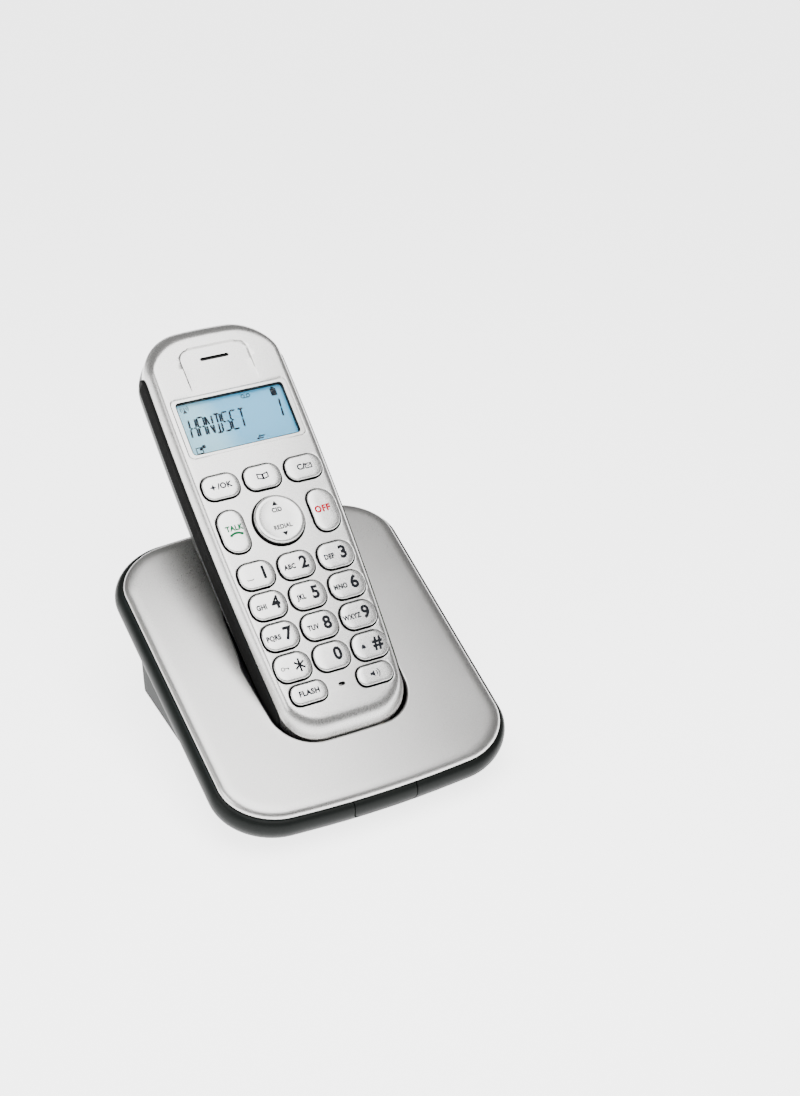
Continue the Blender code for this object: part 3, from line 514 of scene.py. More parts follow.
# %% Top cover
def make_cover():
    roll = [(6.0, 0.0), (4.2, -0.004), (3.2, -0.03), (2.3, -0.14), (1.5, -0.36), (0.9, -0.66)]
    roll += [(0.45, -1.03), (0.15, -1.45), (0.0, -1.9), (0.05, -PLATE_THICK)]
    rim = [(2.6, -PLATE_THICK), (2.6, RIM_LOW), (4.2, RIM_LOW), (4.2, -PLATE_THICK)]
    cover = loose_object("cover_top", loft(plate_rows(roll + rim)), PLATE)
    lip = [(-9.0, 1.8), (-0.8, 1.8), (-0.8, 0.0), (-0.55, 0.02), (-0.33, 0.1)]
    lip += [(-0.16, 0.25), (-0.05, 0.45), (0.006, 0.7), (1.5, 0.75)]
    carve(cover, loft([opening_row(grow, height) for height, grow in lip]), PLATE)
    return make_piece(cover, "base", COVER_SILVER, ["base_top_cover"], 30)


cover = make_cover()
print("cover", len(cover.data.polygons), "faces")

# %% [markdown]
# Below the plate runs a dark skirt that bulges past it. In its front sits the page key, a tab with round
# lower corners and a fine gap round it. Both are cut from one swept band, so their surfaces line up: the
# tab keeps what the gap's cutter leaves inside, the skirt what is outside.

# %% Skirt and page key
SKIRT_PROFILE = [
    (0.2, -2.5), (-0.5, -2.58), (-1.15, -2.95), (-1.65, -3.5), (-2.05, -4.3), (-2.3, -5.2), (-2.4, -6.2),
    (-2.3, -7.3), (-2.0, -8.4), (-1.5, -9.5), (-0.85, -10.4), (-0.1, -11.1), (0.8, -11.6),
]
PAGE_HALF = 10.0


def tab_rows(grow, front, back):
    """The page key's outline, square to the skirt's front, at two distances from the plate's edge."""
    half, low, high, radius = PAGE_HALF + grow, -8.0 - grow, -2.5 + grow * 4, 2.4
    turns = [math.radians(180 + 9 * i) for i in range(11)]
    corner = [(-half + radius + radius * math.cos(a), low + radius + radius * math.sin(a)) for a in turns]
    points = [(half, high), (-half, high)] + corner + [(-x, z) for x, z in reversed(corner)]
    return [[(x, y, z) for x, z in points] for y in (front, back)]


def make_skirt():
    inner = [(4.2, -11.6), (4.2, -10.2), (2.3, -10.2), (2.3, -2.5)]
    skirt = loose_object("skirt_band", loft(plate_rows(SKIRT_PROFILE + inner), "joined"), PLATE)
    carve(skirt, loft(tab_rows(GAP, -8.0, 6.0), "flat"), PLATE)
    key = loose_object("page_tab", loft(tab_rows(0.0, -8.0, 1.4), "flat"), PLATE)
    carve(key, loft(plate_rows(SKIRT_PROFILE)), PLATE, "INTERSECT")
    make_piece(skirt, "base", CHARCOAL, ["base_skirt"], 30)
    make_piece(key, "page_key", CHARCOAL, ["page_key"], 30)
    return skirt


skirt = make_skirt()
print("skirt", len(skirt.data.polygons), "faces")

# %% [markdown]
# The lower housing and the pocket are seen at the edges only, from behind or from below, but they turn
# the same corners as the plate, so they are lofted again with finer rows.


# %% Lower housing
def on_desk(row):
    return [tuple((PLATE @ (Vector(point) * MM)) / MM) for point in row]


SHOULDER = -12.3  # the level, under the plate, where the housing's walls turn upright


def wall_rows(profile):
    return [on_desk(row) for row in plate_rows(profile)]


def floor_row(inset, shrink, height):
    """A level outline near the desk, drawn in a little from the shoulder above it."""
    row = wall_rows([(inset, SHOULDER)])[0]
    middle = sum(point[1] for point in row) / len(row)
    reach = max(abs(point[1] - middle) for point in row)
    across, down = 1 - shrink / PLATE_SIZE["half"], 1 - shrink / reach
    return [(x * across, middle + (y - middle) * down, height) for x, y, _ in row]


def box_of(node):
    """The node's middle and size, in millimetres."""
    low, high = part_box(node)
    return (low + high) / 2 / MM, (high - low) / MM


FEET, SCREWS = [
    [f"{kind}_{end}_{side}" for end in ("front", "rear") for side in ("left", "right")]
    for kind in ("foot", "base_screw")
]


def post(radius, node, low, high):
    middle = box_of(node)[0]
    points = disc(radius, (middle.x, middle.y), 40)
    return loft([at(points, low), at(points, high)])


def slab(low, high):
    size = [b - a for a, b in zip(low, high)]
    middle = [(a + b) / 2 for a, b in zip(low, high)]
    return loft([at(rounded(size[0], size[1], 0.3, middle, 2), z) for z in (low[2], high[2])])


def carve_sockets(housing, past_wall=8):
    """A square hole for the line's socket and a round one for the power's, out through the back."""
    middle, size = box_of("line_jack")
    half = size / 2 + Vector((GAP, GAP, GAP))
    carve(housing, slab(middle - half, middle + half + Vector((0, past_wall, 0))))
    middle, size = box_of("power_jack")
    half = size / 2 + Vector((GAP, GAP, GAP))
    ring = disc(half.x, (middle.x, middle.z), 48)
    ends = (middle.y - half.y, middle.y + half.y + past_wall)
    carve(housing, loft([[(x, y, z) for x, z in ring] for y in ends]))


def make_housing():
    rows = [floor_row(4.5, shrink, height) for shrink, height in ((2.2, 1.0), (1.4, 1.12), (0.95, 1.5))]
    rows += wall_rows([(4.5, SHOULDER), (4.5, -4.0), (6.5, -4.0), (6.5, SHOULDER)])
    housing = loose_object("housing_tub", loft(rows + [floor_row(6.5, 0.8, 3.0)]))
    for foot in FEET:
        carve(housing, post(5.3, foot, -1.0, 2.0))
    for screw in SCREWS:
        carve(housing, post(3.0, screw, -1.2, 2.2))
    carve_sockets(housing)
    carve(housing, slab((-5.3, 2.6, -7.4), (5.3, 7.9, 0.0)), PLATE)
    return housing


housing = make_housing()
print("housing", len(housing.data.polygons), "faces")

# %% [markdown]
# Warm air leaves a base like this through two blocks of slots moulded in its floor. A row of equal
# slots is a job for Geometry Nodes: a line of points, one long cutter on each, and a Boolean that takes
# them all out of the housing. The tree's inputs hold the count, the pitch and the slot's size.


# %% A tree for rows of slots and ribs
def new_group(name, sockets):
    group = bpy.data.node_groups.new(name, "GeometryNodeTree")
    group.interface.new_socket("Geometry", in_out="OUTPUT", socket_type="NodeSocketGeometry")
    group.interface.new_socket("Body", in_out="INPUT", socket_type="NodeSocketGeometry")
    for label, kind in sockets.items():
        group.interface.new_socket(label, in_out="INPUT", socket_type="NodeSocket" + kind)
    tree = Tree(group)
    entry = group.nodes.new("NodeGroupInput")
    given = {socket.name: Wire(tree, socket) for socket in entry.outputs if socket.name}
    return group, tree, given


def close_group(group, tree, body, points, shape, finish, operation="join", turn=None):
    """Puts the shape on every point, joins all to the body or cuts them out, and sets the material."""
    inputs = {"Points": points, "Instance": shape, **({"Rotation": turn} if turn else {})}
    copies = tree.node("GeometryNodeInstanceOnPoints", {}, inputs)
    if operation == "cut":
        copies = tree.node("GeometryNodeRealizeInstances", {}, {"Geometry": copies})
        settings = {"operation": "DIFFERENCE", "solver": "EXACT"}
        made = tree.node("GeometryNodeMeshBoolean", settings, {"Mesh 1": body, "Mesh 2": copies})
    else:
        made = tree.node("GeometryNodeJoinGeometry", {}, {"Geometry": body})
        tree.feed(made.socket.node.inputs["Geometry"], copies)
    real = tree.node("GeometryNodeRealizeInstances", {}, {"Geometry": made})
    painted = tree.node("GeometryNodeSetMaterial", {}, {"Geometry": real, "Material": finish})
    leave = group.nodes.new("NodeGroupOutput")
    tree.feed(leave.inputs["Geometry"], painted)
    return group


def run_group(piece, group, values):
    """Sets the tree's inputs by their identifiers, runs it and keeps the result as a plain mesh."""
    piece.data.validate()
    modifier = piece.modifiers.new(group.name, "NODES")
    modifier.node_group = group
    names = {item.name: item.identifier for item in group.interface.items_tree if item.in_out == "INPUT"}
    for label, value in values.items():
        modifier[names[label]] = value
    piece.update_tag()
    return bake_modifiers(piece)


def slot_group(name, operation, finish):
    """A row of straight bars along X, cut from the body or joined to it."""
    sizes = {"Count": "Int", "Pitch": "Vector", "Start": "Vector", "Bar": "Vector"}
    group, tree, given = new_group(name, sizes)
    places = {"Count": given["Count"], "Start Location": given["Start"], "Offset": given["Pitch"]}
    line = tree.node("GeometryNodeMeshLine", {"mode": "OFFSET"}, places)
    bar = tree.node("GeometryNodeMeshCube", {}, {"Size": given["Bar"]})
    return close_group(group, tree, given["Body"], line, bar, finish, operation)


# %% Floor slots
vent_slots = slot_group("vent_slots", "cut", UNDERSIDE)
middle, _ = box_of("base_lower_housing")
for side in (-1, 1):
    start = (side * 13.0 * MM, (middle.y - 14) * MM, 0.0)
    bar = (20 * MM, 1.6 * MM, 8 * MM)
    run_group(housing, vent_slots, {"Count": 7, "Pitch": (0.0, 4.0 * MM, 0.0), "Start": start, "Bar": bar})
make_piece(housing, "base", UNDERSIDE, ["base_lower_housing"], 30)
print("vented housing", len(housing.data.polygons), "faces")

# %% [markdown]
# The pocket is a black tray whose floor follows the handset's back: nearly flat, then rising in a slope
# where the handset's end is rounded off. Two sprung contacts stand up through its lower wall. It is made
# from an outer and an inner loft, cut off a little below the plate's surface.

# %% Cradle pocket
# Each row is a distance out at the sides, a distance in at the ends, and a share of the depth.
TRAY_SECTION = [
    (-5.5, 4.0, 1.0), (-4.0, 2.7, 0.98), (-2.9, 1.6, 0.95), (-1.9, 0.6, 0.9),
    (-1.1, -0.1, 0.83), (-0.4, -0.45, 0.73), (0.2, -0.6, 0.6), (0.5, -0.6, 0.48),
    (0.65, -0.6, 0.36), (0.8, -0.6, 0.345), (1.85, -0.6, 0.335), (2.0, -0.6, 0.31),
]
TRAY_WALL = 1.4
CONTACT_AT = 9.0  # each charging contact's distance from the middle


def tray_outline(side, end):
    def half(v):
        return handset_width(v) + side + end

    return outline(half, HANDSET_ENDS[0], 12.0, (12.5, 3.0), (0.6, 0.0), end)


def tray_rows(wall, top):
    rows = []
    for side, end, share in TRAY_SECTION:
        share += 0.1 if wall and share < 0.5 else 0.0
        row = []
        for x, y in tray_outline(side + wall, end - wall):
            floor = along(BACK_LINE, y) - POCKET_GAP - wall
            row.append((x, y, SPLIT - GAP + (floor - SPLIT + GAP) * share))
        rows.append(row)
    rows.append(at(tray_outline(2.0 + wall, -POCKET_GAP - wall), top))
    return rows


def make_pocket():
    pocket = loose_object("pocket_tray", loft(tray_rows(TRAY_WALL, 14.0)), HANDSET)
    carve(pocket, loft(tray_rows(0.0, 16.0)), HANDSET)
    carve(pocket, slab((-60, -20, -0.85), (60, 130, 60)), PLATE)
    low, high = HANDSET_ENDS[0] - 3.7, HANDSET_ENDS[0] + 0.3
    slots = [slab((u - 1.9, low, -9.9), (u + 1.9, high, -5.9)) for u in (-CONTACT_AT, CONTACT_AT)]
    carve(pocket, merged(slots), HANDSET)
    return make_piece(pocket, "base", BLACK, ["cradle_liner"], 40)


pocket = make_pocket()
print("pocket", len(pocket.data.polygons), "faces")

# %% [markdown]
# Each charging contact is a strip of plated spring metal bent over a round nose, so that it wipes the
# handset's contact clean each time. A bent strip is a short profile swept across its width.


# %% Charging contacts
CONTACT_LEVELS = (-9.6, -6.2)


def strip_profile(back, front, low, high):
    """A bent strip seen from the side: along one face, over the nose and back along the other."""
    bend = back + (front - back) * 0.45
    middle, radius = (low + high) / 2, (high - low) / 2
    nose = front - radius * 0.8
    points = [(back, low), (bend, low)]
    for i in range(13):
        angle = math.radians(-90 + 15 * i)
        points.append((nose + radius * 0.8 * math.cos(angle), middle + radius * math.sin(angle)))
    return points + [(bend, high)]


def make_contacts():
    profile = strip_profile(HANDSET_ENDS[0] - 2.6, HANDSET_ENDS[0] - 0.3, *CONTACT_LEVELS)
    for u, name in ((-CONTACT_AT, "left"), (CONTACT_AT, "right")):
        rows = [[(x, y, z) for y, z in profile] for x in (u - 1.6, u + 1.6)]
        spring = loose_object(f"charge_spring_{name}", loft(rows, "flat"), HANDSET)
        make_piece(spring, "base", CONTACT_METAL, [f"cradle_contact_{name}"], 30)
        outer = rounded(3.2, 1.2, 0.3, (u, HANDSET_ENDS[0] + 0.6), 4)
        rows = [at(outer, n) for n in CONTACT_LEVELS]
        pad = loose_object(f"charge_pad_{name}", loft(rows, "flat"), HANDSET)
        make_piece(pad, "handset", CONTACT_METAL, [f"handset_contact_{name}"], 30)


make_contacts()
print("contacts made")

# %% [markdown]
# The handset's front shell is one silver moulding. Its face is flat where the keys are and rolls off
# towards the sides, further at the top and furthest at the chin. A single rule gives that: each row of
# the loft lies at a distance in from the edge, and how far it has dropped depends on that distance
# compared with the local reach of the roll.

# %% The handset's outline and the roll of its face
def handset_outline(inset, steps=20):
    return outline(handset_width, *HANDSET_ENDS, (12.0, 14.5), (0.6, 1.6), inset, steps)


def smooth_step(value, low, high):
    share = min(1.0, max(0.0, (value - low) / (high - low)))
    return share * share * (3 - 2 * share)


EDGE_DROP = 4.3  # the face's whole drop at its edge


def roll_drop(inset, v):
    """How far the face has dropped, at a distance in from the edge and a place along the handset."""
    reach = 3.0 + 5.2 * smooth_step(-v, 52.0, 68.0) + 3.0 * smooth_step(v, 56.0, 68.0)
    return EDGE_DROP * max(0.0, 1 - inset / reach) ** 2.5


def face_row(inset):
    return [(x, y, -roll_drop(inset, y)) for x, y in handset_outline(inset)]


def make_front_shell():
    insets = (12.0, 9.5, 8.2, 7.0, 5.8, 4.8, 4.0, 3.3, 2.7, 2.2, 1.75, 1.35, 1.0, 0.7, 0.45, 0.25, 0.1, 0.0)
    rows = [face_row(inset) for inset in insets]
    rows += [at(handset_outline(0.0), n) for n in (-6.0, SPLIT)]
    rows += [at(handset_outline(1.8), SPLIT), at(handset_outline(2.4), -1.9)]
    return loose_object("front_moulding", loft(rows), HANDSET)


front = make_front_shell()
print("front shell", len(front.data.polygons), "faces")

# %% [markdown]
# Every key stands in its own hole, with a gap of a third of a millimetre all round. One table gives each
# key's place and size, and both the holes and the keys are drawn from it. The two call keys are kidneys:
# their inner sides draw in to follow the round rocker key between them.

# %% Table of keys
NUMBERS = ("1", "2", "3", "4", "5", "6", "7", "8", "9", "star", "0", "pound")
KEYS = {
    "menu_key": ((-13.7, 14.8), (11.6, 7.8, 3.2)),
    "phonebook_key": ((0.0, 14.8), (11.6, 7.8, 3.2)),
    "clear_key": ((13.7, 14.8), (11.6, 7.8, 3.2)),
    "talk_key": ((-14.5, -0.2), (9.3, 13.9, 4.4)),
    "off_key": ((14.5, -0.2), (9.3, 13.9, 4.4)),
    "flash_key": ((-10.8, -54.1), (11.2, 6.0, 2.5)),
    "speaker_key": ((10.8, -54.1), (11.2, 6.0, 2.5)),
}
for index, name in enumerate(NUMBERS):
    row_v = -15.2 - 10.05 * (index // 3)
    KEYS["key_" + name] = (((13.28 + 0.0127 * row_v) * (index % 3 - 1), row_v), (11.2, 8.3, 3.4))
NAV_RADIUS = 7.9
WAIST = {"talk_key": -1.2, "off_key": 1.2}


def key_outline(name, inset, steps=9):
    (u, v), (width, height, radius) = KEYS[name]
    width, height, radius = width - 2 * inset, height - 2 * inset, max(radius - inset, 0.35)
    points = []
    for x, y in rounded(width, height, radius, (0.0, 0.0), steps):
        waist = WAIST.get(name, 0.0)
        if x * waist < 0:
            x += waist * max(0.0, 1 - (2 * y / height) ** 2)
        points.append((x + u, y + v))
    return points


# %% [markdown]
# The face also has shallow steps: a low frame round the display, a dished panel at the earpiece that is
# deepest at its top edge, and the small openings for the earpiece and the microphone. Each is a cutter
# with a slight flare, so its edge catches a line of light as a moulded step does.


# %% Openings in the face
WINDOW_MIDDLE = 35.8
WINDOW = (36.0, 18.2)  # the display's window, wide and high
# How far a key's hole has opened beyond the key, at each height.
HOLE_EDGE = [(-3.0, 0.35), (-0.4, 0.35), (-0.18, 0.42), (-0.04, 0.55), (0.006, 0.72), (1.5, 0.75)]
FRAME_EDGE = [(-0.42, 1.2), (-0.3, 1.25), (-0.06, 1.45), (0.006, 1.65), (1.5, 1.7)]


def flared(points_at, rows):
    return loft([at(points_at(grow), n) for n, grow in rows], "flat")


def open_face():
    holes = [flared(lambda grow: key_outline(name, -grow), HOLE_EDGE) for name in KEYS]
    holes.append(flared(lambda grow: disc(NAV_RADIUS + grow), HOLE_EDGE))
    carve(front, merged(holes), HANDSET)
    place = (0, WINDOW_MIDDLE)
    wide, high = WINDOW
    frame_step = flared(lambda grow: rounded(wide + 2 * grow, high + 1.4 * grow, 1.6, place), FRAME_EDGE)
    carve(front, frame_step, HANDSET)
    # The display's window, the earpiece's slot and the microphone's: how wide, how high, how round.
    windows = [(*WINDOW, 1.3, place), (9.6, 1.2, 0.59, (0, 57.8)), (2.2, 1.2, 0.55, (0, -54.1))]
    cutters = [loft([at(rounded(*window), n) for n in (-3.5, 1.0)], "flat") for window in windows]
    carve(front, merged(cutters), HANDSET)


# %% The earpiece's dished panel
DISH = {"top": 61.8, "low": 46.5, "half": 11.2, "corner": 3.6, "depth": 0.85}


def dish_earpiece():
    """Sections across the panel, a quarter millimetre apart. Its floor slopes down to a step."""
    top, low, half, corner, deepest = DISH.values()
    soft, stations = 0.45, []
    for i in range(65):
        y = low + (top + soft - low) * i / 64
        reach = min(1.0, max(0.0, (y - (top - corner)) / corner))
        wide = half - corner * (1 - math.sqrt(max(0.0, 1 - reach * reach)))
        edge = smooth_step(top + soft - y, 0.0, 0.5)
        depth = deepest * smooth_step(y, low, 60.0) ** 0.8 * edge
        side = [(-wide - soft, 0.02), (-wide - 0.2, -0.12 * depth)]
        side += [(-wide, -0.75 * depth), (-wide + 0.25, -depth)]
        floor = [(wide * k / 4, -depth) for k in range(-3, 4)]
        section = side + floor + [(-x, z) for x, z in reversed(side)]
        section += [(wide + soft, 2.0), (-wide - soft, 2.0)]
        stations.append([(x, y, z + 0.004) for x, z in section])
    carve(front, loft(stations, "flat"), HANDSET)


open_face()
dish_earpiece()
print("opened face", len(front.data.polygons), "faces")


# %% Where the shell takes painted shade
def inset_at(x, y):
    """How far in from the handset's outline a place lies, round corners counted."""
    radius = 12.0 if y < 0 else 14.5
    side, end = handset_width(y) - abs(x), min(y - HANDSET_ENDS[0], HANDSET_ENDS[1] - y)
    if side < radius and end < radius:
        return radius - math.hypot(radius - side, radius - end)
    return min(side, end)


def shade_below(x, y):
    """The level under which the shell is painted black as shade in its holes and slots: lower in the dish,
    and never at the outer wall.
    """
    inset = inset_at(x, y)
    in_dish = abs(x) < DISH["half"] + 0.8 and DISH["low"] - 0.5 < y < DISH["top"] + 0.8
    return -roll_drop(max(0.0, inset), y) - (1.1 if in_dish else 0.55) - (9.0 if inset < 0.4 else 0.0)


# %% [markdown]
# A key cap is a pillow: straight sides that come up through the hole, a rounded shoulder and a gently
# domed top. The legend is printed on it in thin ink. Here ink is a very thin solid letter that follows
# the dome: each of its points is dropped onto the cap by casting a ray at it. The letters ride on the
# key's own body, so they move with it when it is pressed.

# %% Key caps
CAP_ROWS = [
    (0.0, -2.2), (0.0, 0.0), (0.0, 0.5), (0.03, 0.6), (0.1, 0.7), (0.22, 0.79),
    (0.4, 0.86), (0.65, 0.91), (1.0, 0.95), (1.5, 0.975), (2.2, 0.99), (2.9, 1.0),
]
FLANGE_ROWS = [(-0.55, -3.0), (-0.55, -2.25)]
NAV_ROWS = [
    (-0.55, -3.0), (-0.55, -2.35), (0.0, -2.35), (0.0, 1.0), (0.05, 1.25), (0.18, 1.5),
    (0.4, 1.7), (0.7, 1.83), (1.1, 1.88), (1.5, 1.84), (2.3, 1.78), (4.5, 1.7),
]
PAINT_FROM = 0.5  # below this height a cap is black: painted shade on its sides, for the dark gap round each key


def make_cap(name):
    (u, _), (width, height, _) = KEYS[name]
    shrink = min(1.0, (height / 2 - 0.75) / CAP_ROWS[-1][0])
    profile = FLANGE_ROWS + [(inset * shrink, n) for inset, n in CAP_ROWS]
    rows = [at(key_outline(name, inset), n) for inset, n in profile]
    if u:
        limit = abs(u) + width / 2 + 0.05
        rows = [[(max(-limit, min(limit, x)), y, n) for x, y, n in row] for row in rows]
    return loose_object("cap_" + name, loft(rows, "flat"), HANDSET)


caps = {name: make_cap(name) for name in KEYS}
nav_rows = [at(disc(NAV_RADIUS - inset, steps=96), n) for inset, n in NAV_ROWS]
caps["nav_key"] = loose_object("cap_nav_key", loft(nav_rows, "flat"), HANDSET)
print("caps", len(caps))


# %% Ink
def ink(name, colour, roughness=0.45):
    made, tree, shader, where = new_material(name, DULL)
    worn = tree.noise(where, 2200.0, 2.0)
    paler = tuple(min(1.0, c * 1.2 + 0.006) for c in colour)
    vary(tree, shader, tree.blend(worn * 0.6, colour, paler), worn * 0.2 + (roughness - 0.1))
    return made


INK_BLACK = ink("legend_black", (0.006, 0.007, 0.010))
INK_GREY = ink("legend_grey", (0.010, 0.011, 0.016))
INK_GREEN = ink("legend_green", (0.0, 0.12, 0.04))
INK_RED = ink("legend_red", (0.42, 0.0, 0.015))


def slice_finely(bm, pitch=0.45):
    """Cuts flat artwork into small cells, so that it can bend with the dome under it."""
    for axis in (0, 1):
        places = [vertex.co[axis] for vertex in bm.verts]
        low, high = min(places), max(places)
        count = int((high - low) / pitch)
        for i in range(1, count + 1):
            point, normal = Vector((0, 0, 0)), Vector((0, 0, 0))
            point[axis], normal[axis] = low + (high - low) * i / (count + 1), 1.0
            everything = bm.verts[:] + bm.edges[:] + bm.faces[:]
            bmesh.ops.bisect_plane(bm, geom=everything, plane_co=point, plane_no=normal)


def drop_on(bm, surface, lift=0.03, sunk=0.06):
    """Moves flat artwork onto the cap under it: its high points just above it, its low ones inside."""
    slice_finely(bm)
    to_face = HANDSET.inverted()
    down = HANDSET.to_3x3() @ Vector((0, 0, -1))
    tree = BVHTree.FromObject(surface, bpy.context.evaluated_depsgraph_get())
    for vertex in bm.verts:
        high = vertex.co.z > 0
        start = HANDSET @ (Vector((vertex.co.x, vertex.co.y, 5.0)) * MM)
        hit = tree.ray_cast(start, down)[0]
        level = (to_face @ hit).z / MM if hit else 0.8
        vertex.co.z = level + (lift if high else -sunk)


# %% Flat artwork
def letters(text, size, centre, bold, squeeze):
    """Flat solid letters, centred on a place, as a bmesh in millimetres."""
    curve = bpy.data.curves.new("letters", "FONT")
    curve.body = text
    curve.size = size
    curve.align_x = "CENTER"
    curve.align_y = "CENTER"
    curve.extrude = 0.05
    curve.offset = bold
    curve.space_character = 1.0 + bold * 0.8
    curve.resolution_u = 6
    held = bpy.data.objects.new("letters", curve)
    bpy.context.scene.collection.objects.link(held)
    mesh = bpy.data.meshes.new_from_object(held.evaluated_get(bpy.context.evaluated_depsgraph_get()))
    bpy.data.objects.remove(held)
    bm = bmesh.new()
    bm.from_mesh(mesh)
    for vertex in bm.verts:
        vertex.co.x = vertex.co.x * squeeze + centre[0]
        vertex.co.y += centre[1]
    return bm


def plate_of(points):
    """Artwork from one closed outline."""
    return loft([at(points, -0.05), at(points, 0.05)], "flat")


def stroke(points, width):
    """A line of constant width through the points."""
    left, right = [], []
    for i, (x, y) in enumerate(points):
        x0, y0 = points[max(i - 1, 0)]
        x1, y1 = points[min(i + 1, len(points) - 1)]
        length = math.hypot(x1 - x0, y1 - y0)
        nx, ny = -(y1 - y0) / length * width / 2, (x1 - x0) / length * width / 2
        left.append((x + nx, y + ny))
        right.append((x - nx, y - ny))
    return left + right[::-1]


def line_work(points, width):
    """One bar for each straight stretch, a little long so that they meet at the corners."""
    bars = []
    for (x0, y0), (x1, y1) in zip(points, points[1:]):
        share = width / 2 / math.hypot(x1 - x0, y1 - y0)
        dx, dy = (x1 - x0) * share, (y1 - y0) * share
        bars.append(plate_of(stroke([(x0 - dx, y0 - dy), (x1 + dx, y1 + dy)], width)))
    return bars


def star():
    """Three bars that cross, for the star key."""
    bars = []
    for turn in (30, 90, 150):
        dx, dy = 1.45 * math.cos(math.radians(turn)), 1.8 * math.sin(math.radians(turn))
        bars += line_work([(2.1 - dx, -dy), (2.1 + dx, dy)], 0.6)
    return bars


def bar(points, width=0.28):
    return plate_of(stroke(points, width))


def arc(centre, radius, start, end, width, steps=10):
    turns = [math.radians(start + (end - start) * i / steps) for i in range(steps + 1)]
    u, v = centre
    return bar([(u + radius * math.cos(turn), v + radius * math.sin(turn)) for turn in turns], width)


# %% Printing on a cap
def print_on(cap_name, label, parts, finish):
    """Prints artwork that was drawn round the key's own middle."""
    bm = merged(parts)
    u, v = KEYS[cap_name][0] if cap_name in KEYS else (0.0, 0.0)
    bmesh.ops.translate(bm, vec=(u, v, 0), verts=bm.verts)
    drop_on(bm, caps[cap_name])
    made = loose_object(f"{label}_{cap_name}", bm, HANDSET)
    return make_piece(made, cap_name, finish, angle=30)


# %% Legends of the number keys
TRIOS = {"2": "ABC", "3": "DEF", "4": "GHI", "5": "JKL", "6": "MNO", "7": "PQRS", "8": "TUV", "9": "WXYZ"}
for name in NUMBERS:
    shown, across = "#" if name == "pound" else name, 1.9 if name == "0" else 2.3
    big = star() if name == "star" else [letters(shown, 5.5, (across, 0.1), 0.22, 0.94)]
    print_on("key_" + name, "digit", big, INK_BLACK)
    if name in TRIOS:
        small = [letters(TRIOS[name], 2.2, (-2.4, -0.3), 0.12, 0.82)]
        print_on("key_" + name, "letters", small, INK_GREY)

# %% [markdown]
# The other keys carry a word, a symbol or both. Each symbol is a few outlines drawn round the key's
# middle: a lock, a bell, a horn with two waves, an open book, an envelope and the two call signs.


# %% Legends of the other keys
def looped(points, width):
    """Line work that comes back to its start."""
    return line_work(points + points[:1], width)


TIPS = ((1, 0), (0.3, 0.3), (0, 1), (-0.3, 0.3), (-1, 0), (-0.3, -0.3), (0, -1), (0.3, -0.3))
HORN = [(-1.6, -0.4), (-1.0, -0.4), (-0.2, -1.0), (-0.2, 1.0), (-1.0, 0.4), (-1.6, 0.4)]
PAGE = [(0.1, -0.9), (1.7, -0.5), (1.7, 1.0), (0.1, 0.6)]
four_way = plate_of([(x * 1.1 - 2.6, y * 1.1) for x, y in TIPS])
lock = [arc((-3.3, 0), 0.5, 0, 350, 0.25, 18)]
lock += [bar([(-2.8, 0), (-1.4, 0)]), bar([(-1.6, 0), (-1.6, -0.5)])]
words = [letters("CID", 2.0, (0, 2.9), 0.1, 0.92), letters("REDIAL", 1.95, (0, -2.7), 0.07, 0.9)]
book = [part for s in (-1, 1) for part in looped([(s * x, y) for x, y in PAGE], 0.4)]
envelope = looped([(0.6, -0.7), (2.6, -0.7), (2.6, 0.7), (0.6, 0.7)], 0.36)
envelope += line_work([(0.6, 0.6), (1.6, -0.1), (2.6, 0.6)], 0.24)
receiver = [arc((0, -3.6), 2.9, 52, 128, 0.75, 14)]
receiver += [plate_of(rounded(0.9, 0.8, 0.25, (s * 1.75, -1.25), 3)) for s in (-1, 1)]
arrows = [plate_of([(s * 0.95, s * 4.4), (0, s * 5.9), (-s * 0.95, s * 4.4)]) for s in (1, -1)]
LEGENDS = {
    "key_1": [bar([(-3.4, -0.9), (-3.3, -1.25), (-1.5, -1.25), (-1.4, -0.9)])],
    "key_star": lock,
    "key_pound": [plate_of([(-3.2, -0.7), (-1.6, -0.7), (-1.9, 0.3), (-2.4, 0.8), (-2.9, 0.3)])],
    "flash_key": [letters("FLASH", 2.3, (0, 0), 0.12, 0.96)],
    "speaker_key": [plate_of(HORN)] + [arc((-0.2, 0), radius, -50, 50, 0.26) for radius in (0.9, 1.6)],
    "menu_key": [four_way, letters("/OK", 2.5, (1.1, 0), 0.12, 0.97)],
    "phonebook_key": book,
    "clear_key": [letters("C/", 2.6, (-0.9, 0), 0.12, 0.97)] + envelope,
    "talk_key": [letters("TALK", 2.3, (-0.1, 0.9), 0.13, 0.9)] + receiver,
    "off_key": [letters("OFF", 2.9, (-0.1, 0.2), 0.15, 0.92)],
    "nav_key": arrows + words,
}
LEGEND_INKS = {"talk_key": INK_GREEN, "off_key": INK_RED, "nav_key": INK_BLACK}
for name, parts in LEGENDS.items():
    print_on(name, "letters", parts, LEGEND_INKS.get(name, INK_GREY))


# %% Silver paint on the shell and the caps, and painted shade in their holes and gaps
def paint_by_height(piece, painted, shade_finish, level_at):
    """Silver paint outside, and black as painted shade on every face deeper than the level given for its
    place.
    """
    to_face = TO_ROOM.inverted()
    piece.data.materials.clear()
    for finish in (painted, shade_finish):
        piece.data.materials.append(finish)
    for polygon in piece.data.polygons:
        centre = to_face @ polygon.center
        polygon.material_index = int(centre.z < level_at(centre.x, centre.y))


# The black on the shell's hole and slot walls is painted shade, for the dark gaps round the keys and
# openings.
paint_by_height(front, HOUSING_SILVER, BLACK, shade_below)
ride_piece(shade(front, 32), "handset", ["handset_front_shell"])
for name, cap in caps.items():
    # Each cap is black below PAINT_FROM: painted shade in the gap round the key.
    paint_by_height(cap, KEY_SILVER, BLACK, lambda x, y: PAINT_FROM)
    ride_piece(shade(cap, 36), name, [name])
print("legends printed")

